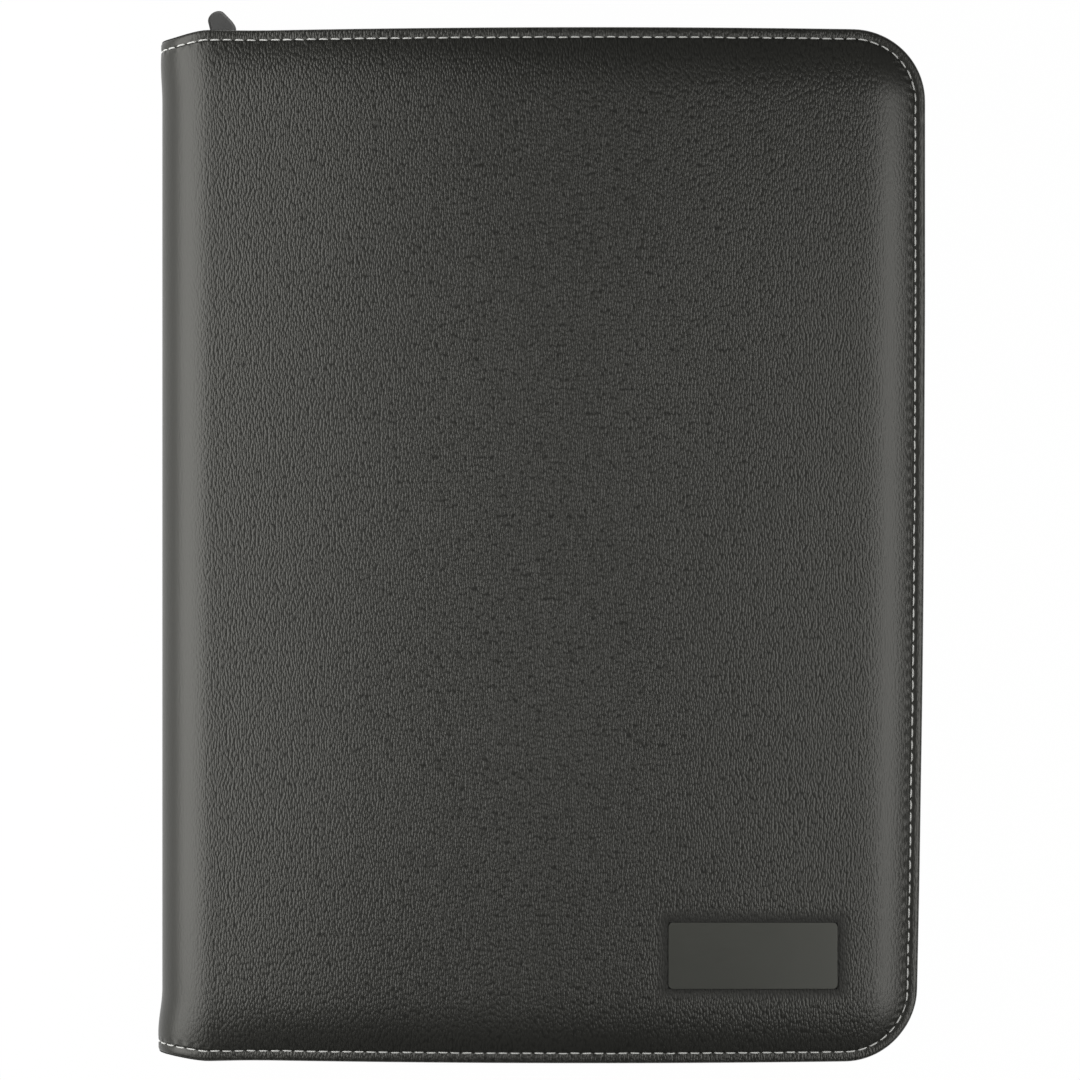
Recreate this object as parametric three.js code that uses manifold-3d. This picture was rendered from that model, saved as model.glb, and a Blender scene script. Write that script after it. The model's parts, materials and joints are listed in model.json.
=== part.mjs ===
// A zip-around business portfolio for an A4 pad, closed and lying on its back cover.
// Millimetres, +Z up. The origin is the middle of the back cover's resting face,
// +X points from the spine to the fore edge and +Y from the bottom edge to the top edge.

import * as THREE from 'three';
import { mergeVertices } from 'three/addons/utils/BufferGeometryUtils.js';
import Module from 'manifold-3d';

const wasm = await Module();
wasm.setup();

// A4 pad that the case is made for, and the room left round it
const padWidth = 210;
const padHeight = 297;
const padFromSpine = 28;
const padFromForeEdge = 17;
const padFromEnds = 24;

// Outline of the closed case
const coverWidth = padFromSpine + padWidth + padFromForeEdge;
const coverHeight = padHeight + 2 * padFromEnds;
const cornerRadius = 24;
const spineDepth = 19;
const spineSplitAngle = 40;

// Layers of a cover, from the outside in, and the gap that touching layers keep
const skin = 1.2;
const foam = 2.8;
const board = 2.0;
const lining = 0.8;
const seat = 0.3;
const insideHeight = 14;

// Edge of a cover: a stitched hem, then the padded field that puffs up inside it
const hemThickness = 2.4;
const hemRound = 1.2;
const stitchInset = 3.4;
const grooveHalf = 0.6;
const grooveDepth = 0.45;
const puffWidth = 16;
const puffPower = 2.2;
const edgeFall = 4.2;
const spineFadeLength = 10.5;

// Spine layers and the inner ends of the covers' layers
const spineBoard = 1.2;
const spineBoardAngle = 30;
const spineLiningReach = 8;
const layerStart = 10;

// Zip chain, at mid height in a wall inside the edge
const chainInset = 8;
const tape = 0.8;
const tapeFlange = 5.6;
const tapeStart = 12;
const toothPitch = 4;
const toothThickness = 2.4;
const toothHead = 1.3;
const toothReach = 1.2;
const toothRoot = 3.2;
const bead = 1.2;
const meshGap = 0.3;
const stopLength = 4;
const stopDepth = 1.4;

// Slider, parked at the closed end of the chain beside the spine
const sliderFromSpine = 30;
const sliderLength = 16;
const sliderPlate = 0.9;
const sliderLip = 0.9;
const mouthFlare = 0.9;
const slotSide = 0.3;
const diamondLength = 6.5;
const diamondWidth = 3.8;
const diamondFromMouth = 0.5;

// Bail, link and tab of the puller
const bailLength = 9;
const bailWire = 1.2;
const bailWidth = 2;
const bailOpening = 2.4;
const linkWire = 1.1;
const linkLength = 5.3;
const linkHeight = 6.8;
const linkCorner = 1.4;
const linkHeading = 166;
const linkFromFoot = 1;
const tabLength = 12.6;
const tabWidth = 7.6;
const tabWidestAt = 4.75;
const tabTip = 2.85;
const tabTaper = 13;
const tabHoleWidth = 5.1;
const tabThickness = 1.5;
const tabHole = 3.5;
const tabLean = 36;
const tabDroop = 20;

// Name plate on the front cover, left bare
const plateWidth = 56;
const plateHeight = 22;
const plateThickness = 0.6;
const plateCorner = 1.5;
const plateBevel = 0.2;
const plateFromForeEdge = 29;
const plateFromBottom = 25.2;

// Layers of the pad and the sleeve that holds it in the back cover
const padCorner = 2;
const backingCard = 0.8;
const sheetStack = 3;
const sleeve = 0.6;
const sleeveHeight = 120;
const sleeveFromPadBottom = 4;
const sleeveHem = 3;
const bindingTape = 0.5;
const bindingDepth = 8.5;

// Pockets on the front lining
const pocket = 0.6;
const pocketFromSpine = 31;
const pocketFromForeEdge = 18;
const pocketFromBottom = 18;
const pocketFromTop = 95;
const pocketCorner = 5;
const thumbCut = 18;
const cardPocket = 0.5;
const cardPocketWidth = 98;
const cardPocketHeight = 62;
const cardPocketStep = 19;
const cardPocketFromPocket = 6;
const cardPocketCount = 3;
const cardThumbCut = 9;

// Pen loop on the spine lining
const penBore = 11;
const penLoopWall = 0.9;
const penLoopLength = 36;

const halfWidth = coverWidth / 2;
const halfHeight = coverHeight / 2;
const stack = skin + foam + board + lining + 3 * seat;
const middle = insideHeight / 2 + stack;
const fieldFace = middle;
const liningFace = insideHeight / 2;
const boardFace = liningFace + lining + seat;
const foamFace = boardFace + board + seat;
const shoulderX = spineDepth - halfWidth;
const splitX = shoulderX - spineDepth * Math.cos(rad(spineSplitAngle));
const hemEnd = stitchInset + grooveHalf;
const puffEnd = hemEnd + puffWidth;
const liningInset = chainInset + tape / 2 + seat;
const boardInset = hemEnd + hemThickness + seat;
const foamInset = boardInset + skin + seat;
const layerX = splitX + layerStart / 2;
const chainHalf = toothRoot + bead;
const cornerSteps = 5;
const spineSteps = 5;

function rad(degrees) {
  return (degrees * Math.PI) / 180;
}

function clamp(value) {
  return Math.min(1, Math.max(0, value));
}

function smooth(value) {
  const t = clamp(value);
  return t * t * (3 - 2 * t);
}

// A closed solid made face by face. Heights are measured from the middle plane of the case,
// up for the front cover (side 1) and down for the back cover (side -1).
class Solid {
  constructor(side = 1) {
    this.side = side;
    this.points = [];
    this.known = new Map();
    this.faces = [];
  }

  at(x, y, height) {
    const z = middle + this.side * height;
    const key = [x, y, z].map((value) => value.toFixed(4)).join(' ');
    if (!this.known.has(key)) {
      this.known.set(key, this.points.length / 3);
      this.points.push(x, y, z);
    }
    return this.known.get(key);
  }

  face(a, b, c) {
    if (a !== b && b !== c && c !== a) this.faces.push(a, b, c);
  }

  quad(a, b, c, d) {
    this.face(a, b, c);
    this.face(a, c, d);
  }

  geometry() {
    const p = this.points;
    const f = this.faces;
    const corner = (i) => new THREE.Vector3(p[3 * f[i]], p[3 * f[i] + 1], p[3 * f[i] + 2]);
    let volume = 0;
    for (let i = 0; i < f.length; i += 3) {
      volume += corner(i).dot(corner(i + 1).cross(corner(i + 2)));
    }
    if (volume < 0) f.reverse();
    const result = new THREE.BufferGeometry();
    result.setAttribute('position', new THREE.Float32BufferAttribute(p, 3));
    result.setIndex(f);
    return result;
  }
}

// The U-shaped line at an inset from the cover's edge: along the top edge from startX, round
// the fore edge and back along the bottom edge. Its points match those of any other inset.
function edgeLine(inset, startX) {
  const bend = Math.max(cornerRadius, inset);
  const centreX = halfWidth - bend;
  const centreY = halfHeight - bend;
  const top = [[startX, halfHeight - inset]];
  for (let i = 1; i <= spineSteps; i += 1) {
    const angle = rad(spineSplitAngle + ((90 - spineSplitAngle) * i) / spineSteps);
    const x = shoulderX - spineDepth * Math.cos(angle);
    if (x > startX + 1) top.push([x, halfHeight - inset]);
  }
  for (let i = 0; i <= cornerSteps; i += 1) {
    const angle = (Math.PI / 2) * (1 - i / cornerSteps);
    top.push([centreX + (bend - inset) * Math.cos(angle), centreY + (bend - inset) * Math.sin(angle)]);
  }
  const bottom = top.map(([x, y]) => [x, -y]).reverse();
  return [...top, ...bottom];
}

// A plate over the cover's plan, between two faces given as heights by inset and x.
function coverPlate(side, startX, insets, upper, lower) {
  const solid = new Solid(side);
  const place = (face) => insets.map((inset) =>
    edgeLine(inset, startX).map(([x, y]) => solid.at(x, y, face(inset, x))));
  const faces = [place(upper), place(lower)];
  const count = faces[0][0].length;
  const last = insets.length - 1;
  faces.forEach((rings, lowerFace) => {
    const quad = (a, b, c, d) => (lowerFace ? solid.quad(a, b, c, d) : solid.quad(d, c, b, a));
    for (let r = 0; r < last; r += 1) {
      for (let i = 0; i + 1 < count; i += 1) {
        quad(rings[r][i], rings[r][i + 1], rings[r + 1][i + 1], rings[r + 1][i]);
      }
    }
    const inner = rings[last];
    for (let i = 0; i + 1 < count / 2; i += 1) {
      quad(inner[i], inner[i + 1], inner[count - 2 - i], inner[count - 1 - i]);
    }
  });
  const rim = (rings) => [
    ...rings.map((ring) => ring[0]).reverse(),
    ...rings[0].slice(1, -1),
    ...rings.map((ring) => ring[count - 1]),
  ];
  const [above, below] = faces.map(rim);
  above.forEach((point, i) => {
    const next = (i + 1) % above.length;
    solid.quad(point, above[next], below[next], below[i]);
  });
  return solid.geometry();
}

// A closed section of (inset, height) corners swept along the cover's edge.
function edgeSweep(side, startX, section) {
  const solid = new Solid(side);
  const lines = section.map(([inset, height]) =>
    edgeLine(inset, startX).map(([x, y]) => solid.at(x, y, height)));
  const count = lines[0].length;
  lines.forEach((line, j) => {
    const next = lines[(j + 1) % lines.length];
    for (let i = 0; i + 1 < count; i += 1) solid.quad(line[i], next[i], next[i + 1], line[i + 1]);
  });
  const outline = section.map(([inset, height]) => new THREE.Vector2(inset, height));
  for (const cap of THREE.ShapeUtils.triangulateShape(outline, [])) {
    const [a, b, c] = [...cap].sort((one, other) => one - other);
    solid.face(lines[c][0], lines[b][0], lines[a][0]);
    solid.face(lines[a][count - 1], lines[b][count - 1], lines[c][count - 1]);
  }
  return solid.geometry();
}

function toManifold(geometry) {
  const bare = geometry.clone();
  for (const name of Object.keys(bare.attributes)) {
    if (name !== 'position') bare.deleteAttribute(name);
  }
  const merged = mergeVertices(bare, 1e-4);
  return new wasm.Manifold(new wasm.Mesh({
    numProp: 3,
    vertProperties: new Float32Array(merged.attributes.position.array),
    triVerts: new Uint32Array(merged.index.array),
  }));
}

function fromManifold(manifold) {
  const { vertProperties, triVerts } = manifold.getMesh();
  const result = new THREE.BufferGeometry();
  result.setAttribute('position', new THREE.Float32BufferAttribute(vertProperties, 3));
  result.setIndex(Array.from(triVerts));
  return result;
}

function box(sizeX, sizeY, sizeZ, x, y, z) {
  return new THREE.BoxGeometry(sizeX, sizeY, sizeZ).translate(x, y, z);
}

function extruded(shape, depth, curveSegments = 4, bevel = 0) {
  return new THREE.ExtrudeGeometry(shape, {
    depth: depth - 2 * bevel,
    curveSegments,
    bevelEnabled: bevel > 0,
    bevelSize: bevel,
    bevelOffset: -bevel,
    bevelThickness: bevel,
    bevelSegments: 1,
  }).translate(0, 0, bevel);
}

function roundedRectangle(width, height, radius) {
  const shape = new THREE.Shape();
  const x = width / 2 - radius;
  const y = height / 2 - radius;
  shape.absarc(x, y, radius, 0, Math.PI / 2);
  shape.absarc(-x, y, radius, Math.PI / 2, Math.PI);
  shape.absarc(-x, -y, radius, Math.PI, 1.5 * Math.PI);
  shape.absarc(x, -y, radius, 1.5 * Math.PI, 2 * Math.PI);
  shape.closePath();
  return shape;
}

// A flat panel whose top edge is cut by a round thumb notch.
function notchedPanel(width, height, radius, notch) {
  const shape = new THREE.Shape();
  const x = width / 2;
  const y = height / 2;
  shape.moveTo(notch, y);
  shape.absarc(0, y, notch, 0, -Math.PI, true);
  shape.lineTo(-x, y);
  shape.absarc(radius - x, radius - y, radius, Math.PI, 1.5 * Math.PI);
  shape.absarc(x - radius, radius - y, radius, 1.5 * Math.PI, 2 * Math.PI);
  shape.lineTo(x, y);
  shape.closePath();
  return shape;
}

// The section (x, z) is run along Y, evenly about the middle.
function alongSpine(shape, length, curveSegments) {
  return extruded(shape, length, curveSegments).rotateX(Math.PI / 2).translate(0, length / 2, 0);
}

// Height of the spine's rounded shoulder at x, measured on a layer that lies deeper than the skin's face.
function shoulder(x, depth) {
  const reach = Math.min(0, x - shoulderX) / (spineDepth - depth);
  return (fieldFace - depth) * Math.sqrt(Math.max(0, 1 - reach * reach));
}

function edgeDrop(inset) {
  return edgeFall * (1 - clamp((inset - hemEnd) / puffWidth)) ** puffPower;
}

function dropAt(inset, x) {
  return edgeDrop(inset) * smooth((x - splitX) / spineFadeLength);
}

function hemRounding(inset) {
  const t = 1 - clamp(inset / hemRound);
  return (hemThickness / 2) * (1 - Math.sqrt(1 - t * t));
}

function outerFace(inset, x) {
  const groove = grooveDepth * clamp(1 - Math.abs(inset - stitchInset) / grooveHalf);
  return shoulder(x, 0) - dropAt(inset, x) - hemRounding(inset) - groove;
}

function skinUnderside(inset, x) {
  return shoulder(x, skin) - dropAt(inset, x);
}

function innerFace(inset, x) {
  if (inset > hemEnd + grooveHalf) return skinUnderside(inset, x);
  return shoulder(x, 0) - dropAt(inset, x) - hemThickness + hemRounding(inset);
}

function coverSkin(side) {
  const grooveStart = stitchInset - grooveHalf;
  const insets = [0, hemRound / 3, hemRound, grooveStart, stitchInset, hemEnd, hemEnd + grooveHalf];
  const rise = [0.12, 0.25, 0.5, 1].map((share) => hemEnd + share * puffWidth);
  return coverPlate(side, splitX + seat / 2, [...insets, ...rise], outerFace, innerFace);
}

function coverFoam(side) {
  const insets = [foamInset, (2 * foamInset + puffEnd) / 3, puffEnd];
  const face = (inset, x) => skinUnderside(inset, x) - seat;
  return coverPlate(side, layerX, insets, face, () => foamFace);
}

function coverBoard(side) {
  return coverPlate(side, layerX, [boardInset], () => boardFace + board, () => boardFace);
}

function coverLining(side) {
  return coverPlate(side, layerX, [liningInset], () => liningFace + lining, () => liningFace);
}

// The tape's flange is sewn under the hem, and its web hangs from it to the chain.
function zipTape(side) {
  const outer = chainInset - tape / 2;
  const inner = chainInset + tape / 2;
  const edge = chainHalf + seat;
  const under = liningFace;
  const top = liningFace + lining;
  return edgeSweep(side, tapeStart - halfWidth, [
    [inner - tapeFlange, top], [inner - tapeFlange, under], [outer, under],
    [outer, edge], [inner, edge], [inner, top],
  ]);
}

// Place and outward direction at a distance along the chain from x = startX on the top edge.
function chainPoint(distance, startX) {
  const radius = cornerRadius - chainInset;
  const centreX = halfWidth - cornerRadius;
  const centreY = halfHeight - cornerRadius;
  const bend = (radius * Math.PI) / 2;
  const top = centreX - startX;
  if (distance < top) return [startX + distance, centreY + radius, 0, 1];
  const intoBend = distance - top;
  if (intoBend < bend) {
    const angle = Math.PI / 2 - intoBend / radius;
    const [nx, ny] = [Math.cos(angle), Math.sin(angle)];
    return [centreX + radius * nx, centreY + radius * ny, nx, ny];
  }
  const intoSide = intoBend - bend;
  if (intoSide < centreY) return [centreX + radius, centreY - intoSide, 1, 0];
  const whole = 2 * (top + bend + centreY);
  const [x, y, nx, ny] = chainPoint(whole - distance, startX);
  return [x, -y, nx, -ny];
}

// The chain is measured from the slider, round the case, to the point opposite the slider.
function chainLength() {
  const bend = ((cornerRadius - chainInset) * Math.PI) / 2;
  return 2 * (halfWidth - cornerRadius - sliderX() + bend + halfHeight - cornerRadius);
}

function toothPlaces(startX, firstTooth) {
  const places = [];
  for (let s = firstTooth; s < chainLength() - toothPitch; s += toothPitch) {
    if (s > startX - sliderX() + toothPitch / 2) places.push(s);
  }
  return places;
}

// One row of teeth: a bead along the tape's edge and tapered teeth that reach past the middle.
function teethRow(side, rows) {
  const solid = new Solid(side);
  const headHalf = toothHead / 2;
  const taper = (toothPitch / 2 - meshGap - toothHead) / (2 * toothReach);
  const rootHalf = headHalf + taper * (toothReach + toothRoot);
  const half = toothThickness / 2;
  const pair = (s, height) => {
    const [x, y, nx, ny] = chainPoint(s, sliderX());
    return [-half, half].map((n) => solid.at(x + n * nx, y + n * ny, height));
  };
  const wall = (a, b) => solid.quad(a[0], a[1], b[1], b[0]);
  const sides = (a, b, c) => {
    solid.face(a[0], b[0], c[0]);
    solid.face(c[1], b[1], a[1]);
  };
  let back = pair(rows[0] - toothPitch / 2, chainHalf);
  let root = pair(rows[0] - toothPitch / 2, toothRoot);
  wall(back, root);
  for (const s of rows) {
    const nextBack = pair(s + toothPitch / 2, chainHalf);
    const left = pair(s - rootHalf, toothRoot);
    const right = pair(s + rootHalf, toothRoot);
    const headLeft = pair(s - headHalf, -toothReach);
    const headRight = pair(s + headHalf, -toothReach);
    sides(back, root, left);
    sides(back, left, right);
    sides(back, right, nextBack);
    sides(left, headLeft, headRight);
    sides(left, headRight, right);
    wall(root, left);
    wall(left, headLeft);
    wall(headLeft, headRight);
    wall(headRight, right);
    wall(nextBack, back);
    back = nextBack;
    root = right;
  }
  const end = pair(rows[rows.length - 1] + toothPitch / 2, toothRoot);
  sides(back, root, end);
  wall(root, end);
  wall(end, back);
  return solid.geometry();
}

// A stop folded over the tape's edge at one end of a row, at a place along the top or bottom run.
function chainStop(side, x, run) {
  const half = toothThickness / 2;
  const y = run * (halfHeight - chainInset);
  const height = bead + stopDepth;
  const slot = tape + 2 * slotSide;
  const edge = middle + side * toothRoot;
  const body = toManifold(box(stopLength, 2 * half, height, x, y, edge + (side * height) / 2));
  const cut = box(2 * stopLength, slot, height, x, y, edge + side * (bead + height / 2));
  return fromManifold(body.subtract(toManifold(cut)));
}

function sliderX() {
  return sliderFromSpine - halfWidth;
}

// The slider's outline in (x, height), wider at the mouth than behind the diamond.
function sliderOutline(start, end, mouthHalf, rearHalf) {
  const shape = new THREE.Shape();
  const waist = diamondFromMouth + diamondLength - sliderLength / 2;
  shape.moveTo(start, mouthHalf);
  shape.lineTo(waist, rearHalf);
  shape.lineTo(end, rearHalf);
  shape.lineTo(end, -rearHalf);
  shape.lineTo(waist, -rearHalf);
  shape.lineTo(start, -mouthHalf);
  shape.closePath();
  return shape;
}

function sliderBody() {
  const half = sliderLength / 2;
  const channel = chainHalf + seat;
  const channelDepth = toothThickness + 2 * seat;
  const slot = tape + 2 * slotSide;
  const depth = channelDepth + 2 * sliderPlate;
  const upright = (shape, thickness) => toManifold(extruded(shape, thickness)
    .translate(0, 0, -thickness / 2).rotateX(Math.PI / 2)
    .translate(sliderX(), halfHeight - chainInset, middle));
  const lipEdge = channel + sliderLip;
  const outer = upright(sliderOutline(-half, half, lipEdge + mouthFlare, lipEdge), depth);
  const hollow = upright(sliderOutline(-half - 1, half + 1, channel + mouthFlare, channel), channelDepth);
  const slots = upright(sliderOutline(-half - 1, half + 1, 2 * lipEdge, 2 * lipEdge), slot);
  const diamond = new THREE.Shape();
  const tip = diamondFromMouth - half;
  diamond.moveTo(tip, 0);
  diamond.lineTo(tip + diamondLength / 3, -diamondWidth / 2);
  diamond.lineTo(tip + diamondLength, 0);
  diamond.lineTo(tip + diamondLength / 3, diamondWidth / 2);
  diamond.closePath();
  const post = upright(diamond, channelDepth + sliderPlate);
  return fromManifold(outer.subtract(hollow).subtract(slots).add(post));
}

function sliderFace() {
  return halfHeight - chainInset + toothThickness / 2 + seat + sliderPlate;
}

// A bridge over the slider's outer plate, run in the direction of travel.
function sliderBail() {
  const shape = new THREE.Shape();
  const half = bailLength / 2;
  const rise = bailOpening + bailWire;
  shape.moveTo(-half, 0);
  shape.lineTo(-half, rise - bailWire);
  shape.quadraticCurveTo(-half, rise, bailWire - half, rise);
  shape.lineTo(half - bailWire, rise);
  shape.quadraticCurveTo(half, rise, half, rise - bailWire);
  shape.lineTo(half, 0);
  shape.lineTo(half - bailWire, 0);
  shape.lineTo(half - bailWire, bailOpening);
  shape.lineTo(bailWire - half, bailOpening);
  shape.lineTo(bailWire - half, 0);
  shape.closePath();
  return extruded(shape, bailWidth)
    .translate(sliderX(), sliderFace() + seat, middle - bailWidth / 2);
}

// The link's bar under the bail, which it swings on, and its outer bar, which carries the tab.
const linkPivot = new THREE.Vector3(
  sliderX() - bailLength / 2 + bailWire + linkFromFoot,
  sliderFace() + seat + bailOpening / 2 + meshGap / 3,
  middle,
);
const linkDirection = new THREE.Vector3(Math.cos(rad(linkHeading)), Math.sin(rad(linkHeading)), 0);
const tabPivot = linkPivot.clone().addScaledVector(linkDirection, linkLength);

// A closed wire link that stands on edge, so that a flat tab lies level on its outer bar.
function pullLink() {
  const loop = roundedRectangle(linkLength, linkHeight, linkCorner).getPoints(2);
  const ring = loop.filter((point, i) => i === 0 || point.distanceTo(loop[i - 1]) > 1e-6);
  if (ring[0].distanceTo(ring[ring.length - 1]) < 1e-6) ring.pop();
  const solid = new Solid();
  const sides = 8;
  const centre = linkPivot.clone().addScaledVector(linkDirection, linkLength / 2);
  const across = new THREE.Vector3(-linkDirection.y, linkDirection.x, 0);
  const loops = ring.map((point, i) => {
    const before = ring[(i + ring.length - 1) % ring.length];
    const after = ring[(i + 1) % ring.length];
    const tangent = after.clone().sub(before).normalize();
    const out = new THREE.Vector2(tangent.y, -tangent.x);
    return Array.from({ length: sides }, (_, k) => {
      const angle = (2 * Math.PI * k) / sides;
      const along = point.x + (linkWire / 2) * Math.cos(angle) * out.x;
      const up = point.y + (linkWire / 2) * Math.cos(angle) * out.y;
      const place = centre.clone().addScaledVector(linkDirection, along)
        .addScaledVector(across, (linkWire / 2) * Math.sin(angle));
      return solid.at(place.x, place.y, up);
    });
  });
  loops.forEach((a, i) => {
    const b = loops[(i + 1) % loops.length];
    for (let k = 0; k < sides; k += 1) {
      const next = (k + 1) % sides;
      solid.quad(a[k], b[k], b[next], a[next]);
    }
  });
  return solid.geometry();
}

// A leaf-shaped tab, hanging from the link's outer bar and leaning towards the spine.
function pullTab() {
  const shape = new THREE.Shape();
  const eye = tabHoleWidth / 2;
  const wide = tabWidth / 2;
  const round = tabLength - tabTip;
  const turn = Math.PI / 2 - rad(tabTaper);
  const tip = new THREE.Vector2(round + tabTip * Math.cos(turn), tabTip * Math.sin(turn));
  const lead = tip.clone().add(new THREE.Vector2(-Math.sin(turn), Math.cos(turn)).multiplyScalar(tabTip / 2));
  const near = tabWidestAt / 2;
  const far = tabWidestAt + near / 2;
  shape.absarc(0, 0, eye, Math.PI / 2, 1.5 * Math.PI);
  shape.bezierCurveTo(near, -eye, near, -wide, tabWidestAt, -wide);
  shape.bezierCurveTo(far, -wide, lead.x, -lead.y, tip.x, -tip.y);
  shape.absarc(round, 0, tabTip, -turn, turn);
  shape.bezierCurveTo(lead.x, lead.y, far, wide, tabWidestAt, wide);
  shape.bezierCurveTo(near, wide, near, eye, 0, eye);
  const hole = new THREE.Path();
  hole.absarc(0, 0, tabHole / 2, 0, 2 * Math.PI);
  shape.holes.push(hole);
  const tab = extruded(shape, tabThickness, 6).translate(0, 0, -tabThickness / 2);
  return tab.rotateY(rad(tabDroop)).rotateZ(rad(90 + tabLean))
    .translate(tabPivot.x, tabPivot.y, tabPivot.z);
}

// A strip that follows the spine between two depths, cut square at a distance from the middle of the curve.
function spineStrip(outerDepth, innerDepth, cutX, length) {
  const shape = new THREE.Shape();
  const steps = 10;
  const arc = (depth, t) => {
    const limit = Math.acos(clamp((shoulderX - cutX) / (spineDepth - depth)));
    const angle = limit * t;
    return [
      shoulderX - (spineDepth - depth) * Math.cos(angle),
      middle + (fieldFace - depth) * Math.sin(angle),
    ];
  };
  for (let i = 0; i <= steps; i += 1) {
    const [x, z] = arc(outerDepth, (2 * i) / steps - 1);
    if (i === 0) shape.moveTo(x, z);
    else shape.lineTo(x, z);
  }
  for (let i = steps; i >= 0; i -= 1) {
    const [x, z] = arc(innerDepth, (2 * i) / steps - 1);
    shape.lineTo(x, z);
  }
  shape.closePath();
  return alongSpine(shape, length);
}

const boardDepth = skin + seat;
const spineLiningDepth = boardDepth + spineBoard + seat;
const liningLength = 2 * (halfHeight - liningInset);
const spineBoardCut = shoulderX - (spineDepth - boardDepth) * Math.cos(rad(spineBoardAngle));

function penLoop() {
  const outer = penBore / 2 + penLoopWall;
  const shape = new THREE.Shape();
  shape.absarc(0, 0, outer, 0, 2 * Math.PI);
  const bore = new THREE.Path();
  bore.absarc(0, 0, penBore / 2, 0, 2 * Math.PI);
  shape.holes.push(bore);
  const seatX = spineLiningDepth + lining + seat - halfWidth;
  return alongSpine(shape, penLoopLength, 10).translate(seatX + outer, 0, middle);
}

const plateX = halfWidth - plateFromForeEdge - plateWidth / 2;
const plateY = plateFromBottom + plateHeight / 2 - halfHeight;

function frontSkin() {
  const recess = extruded(
    roundedRectangle(plateWidth + 2 * seat, plateHeight + 2 * seat, plateCorner + seat), 2 * skin, 3,
  ).translate(plateX, plateY, middle + fieldFace - plateThickness - seat);
  return fromManifold(toManifold(coverSkin(1)).subtract(toManifold(recess)));
}

function namePlate() {
  return extruded(roundedRectangle(plateWidth, plateHeight, plateCorner), plateThickness, 3, plateBevel)
    .translate(plateX, plateY, middle + fieldFace - plateThickness);
}

const padX = halfWidth - padFromForeEdge - padWidth / 2;
const cardZ = middle - liningFace + seat;
const sleeveZ = cardZ + backingCard + seat;
const sheetZ = sleeveZ + sleeve + seat;
const bindingZ = sheetZ + sheetStack + seat;

function padPanel(thickness) {
  return extruded(roundedRectangle(padWidth, padHeight, padCorner), thickness, 2);
}

// The sleeve bridges the backing card and is sewn to the lining along both sides.
function padSleeve() {
  const width = padWidth + 2 * (seat + sleeveHem);
  const top = sleeveZ + sleeve;
  const y = sleeveFromPadBottom + sleeveHeight / 2 - padHeight / 2;
  const body = toManifold(box(width, sleeveHeight, top - cardZ, padX, y, (top + cardZ) / 2));
  const channel = box(padWidth + 2 * seat, 2 * sleeveHeight, 2 * (sleeveZ - cardZ), padX, y, cardZ);
  return fromManifold(body.subtract(toManifold(channel)));
}

// A folded tape that binds the sheets and the card at the pad's top edge.
function padBinding() {
  const shape = new THREE.Shape();
  const edge = padHeight / 2 + seat;
  shape.moveTo(edge, cardZ);
  shape.lineTo(edge + bindingTape, cardZ);
  shape.lineTo(edge + bindingTape, bindingZ + bindingTape);
  shape.lineTo(edge - bindingDepth, bindingZ + bindingTape);
  shape.lineTo(edge - bindingDepth, bindingZ);
  shape.lineTo(edge, bindingZ);
  shape.closePath();
  return extruded(shape, padWidth).rotateX(Math.PI / 2).rotateZ(Math.PI / 2)
    .translate(padX - padWidth / 2, 0, 0);
}

const pocketWidth = coverWidth - pocketFromSpine - pocketFromForeEdge;
const pocketHeight = coverHeight - pocketFromBottom - pocketFromTop;
const pocketX = halfWidth - pocketFromForeEdge - pocketWidth / 2;
const pocketY = pocketFromBottom + pocketHeight / 2 - halfHeight;
const pocketZ = middle + liningFace - seat - pocket;

function documentPocket() {
  return extruded(notchedPanel(pocketWidth, pocketHeight, pocketCorner, thumbCut), pocket, 5)
    .translate(pocketX, pocketY, pocketZ);
}

// Card pockets overlap like steps, each lower and nearer to the reader than the one before.
function cardPocketPanel(number) {
  const x = pocketX - pocketWidth / 2 + cardPocketFromPocket + cardPocketWidth / 2;
  const top = pocketY + pocketHeight / 2 - cardPocketFromPocket - number * cardPocketStep;
  const panel = notchedPanel(cardPocketWidth, cardPocketHeight, pocketCorner, cardThumbCut);
  return extruded(panel, cardPocket, 4)
    .translate(x, top - cardPocketHeight / 2, pocketZ - number * (seat + cardPocket));
}

const finishes = {
  leather: { color: 0x3e3e3b, roughness: 0.55, metalness: 0 },
  foam: { color: 0x6f6f6b, roughness: 0.95, metalness: 0 },
  board: { color: 0x8c8172, roughness: 0.9, metalness: 0 },
  lining: { color: 0x2c2c2e, roughness: 0.9, metalness: 0 },
  tape: { color: 0x1d1d1f, roughness: 0.9, metalness: 0 },
  teeth: { color: 0x232325, roughness: 0.4, metalness: 0 },
  metal: { color: 0x4c4c4c, roughness: 0.35, metalness: 0.9 },
  plate: { color: 0x43443f, roughness: 0.35, metalness: 0 },
  paper: { color: 0xf1f0ea, roughness: 0.95, metalness: 0 },
  card: { color: 0xa98f6c, roughness: 0.95, metalness: 0 },
  binding: { color: 0x3a3a3c, roughness: 0.8, metalness: 0 },
};
const materials = Object.fromEntries(
  Object.entries(finishes).map(([name, finish]) => [name, new THREE.MeshStandardMaterial(finish)]),
);

const portfolio = new THREE.Group();

function add(name, geometry, finish) {
  const mesh = new THREE.Mesh(geometry, materials[finish]);
  mesh.name = name;
  portfolio.add(mesh);
}

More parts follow.
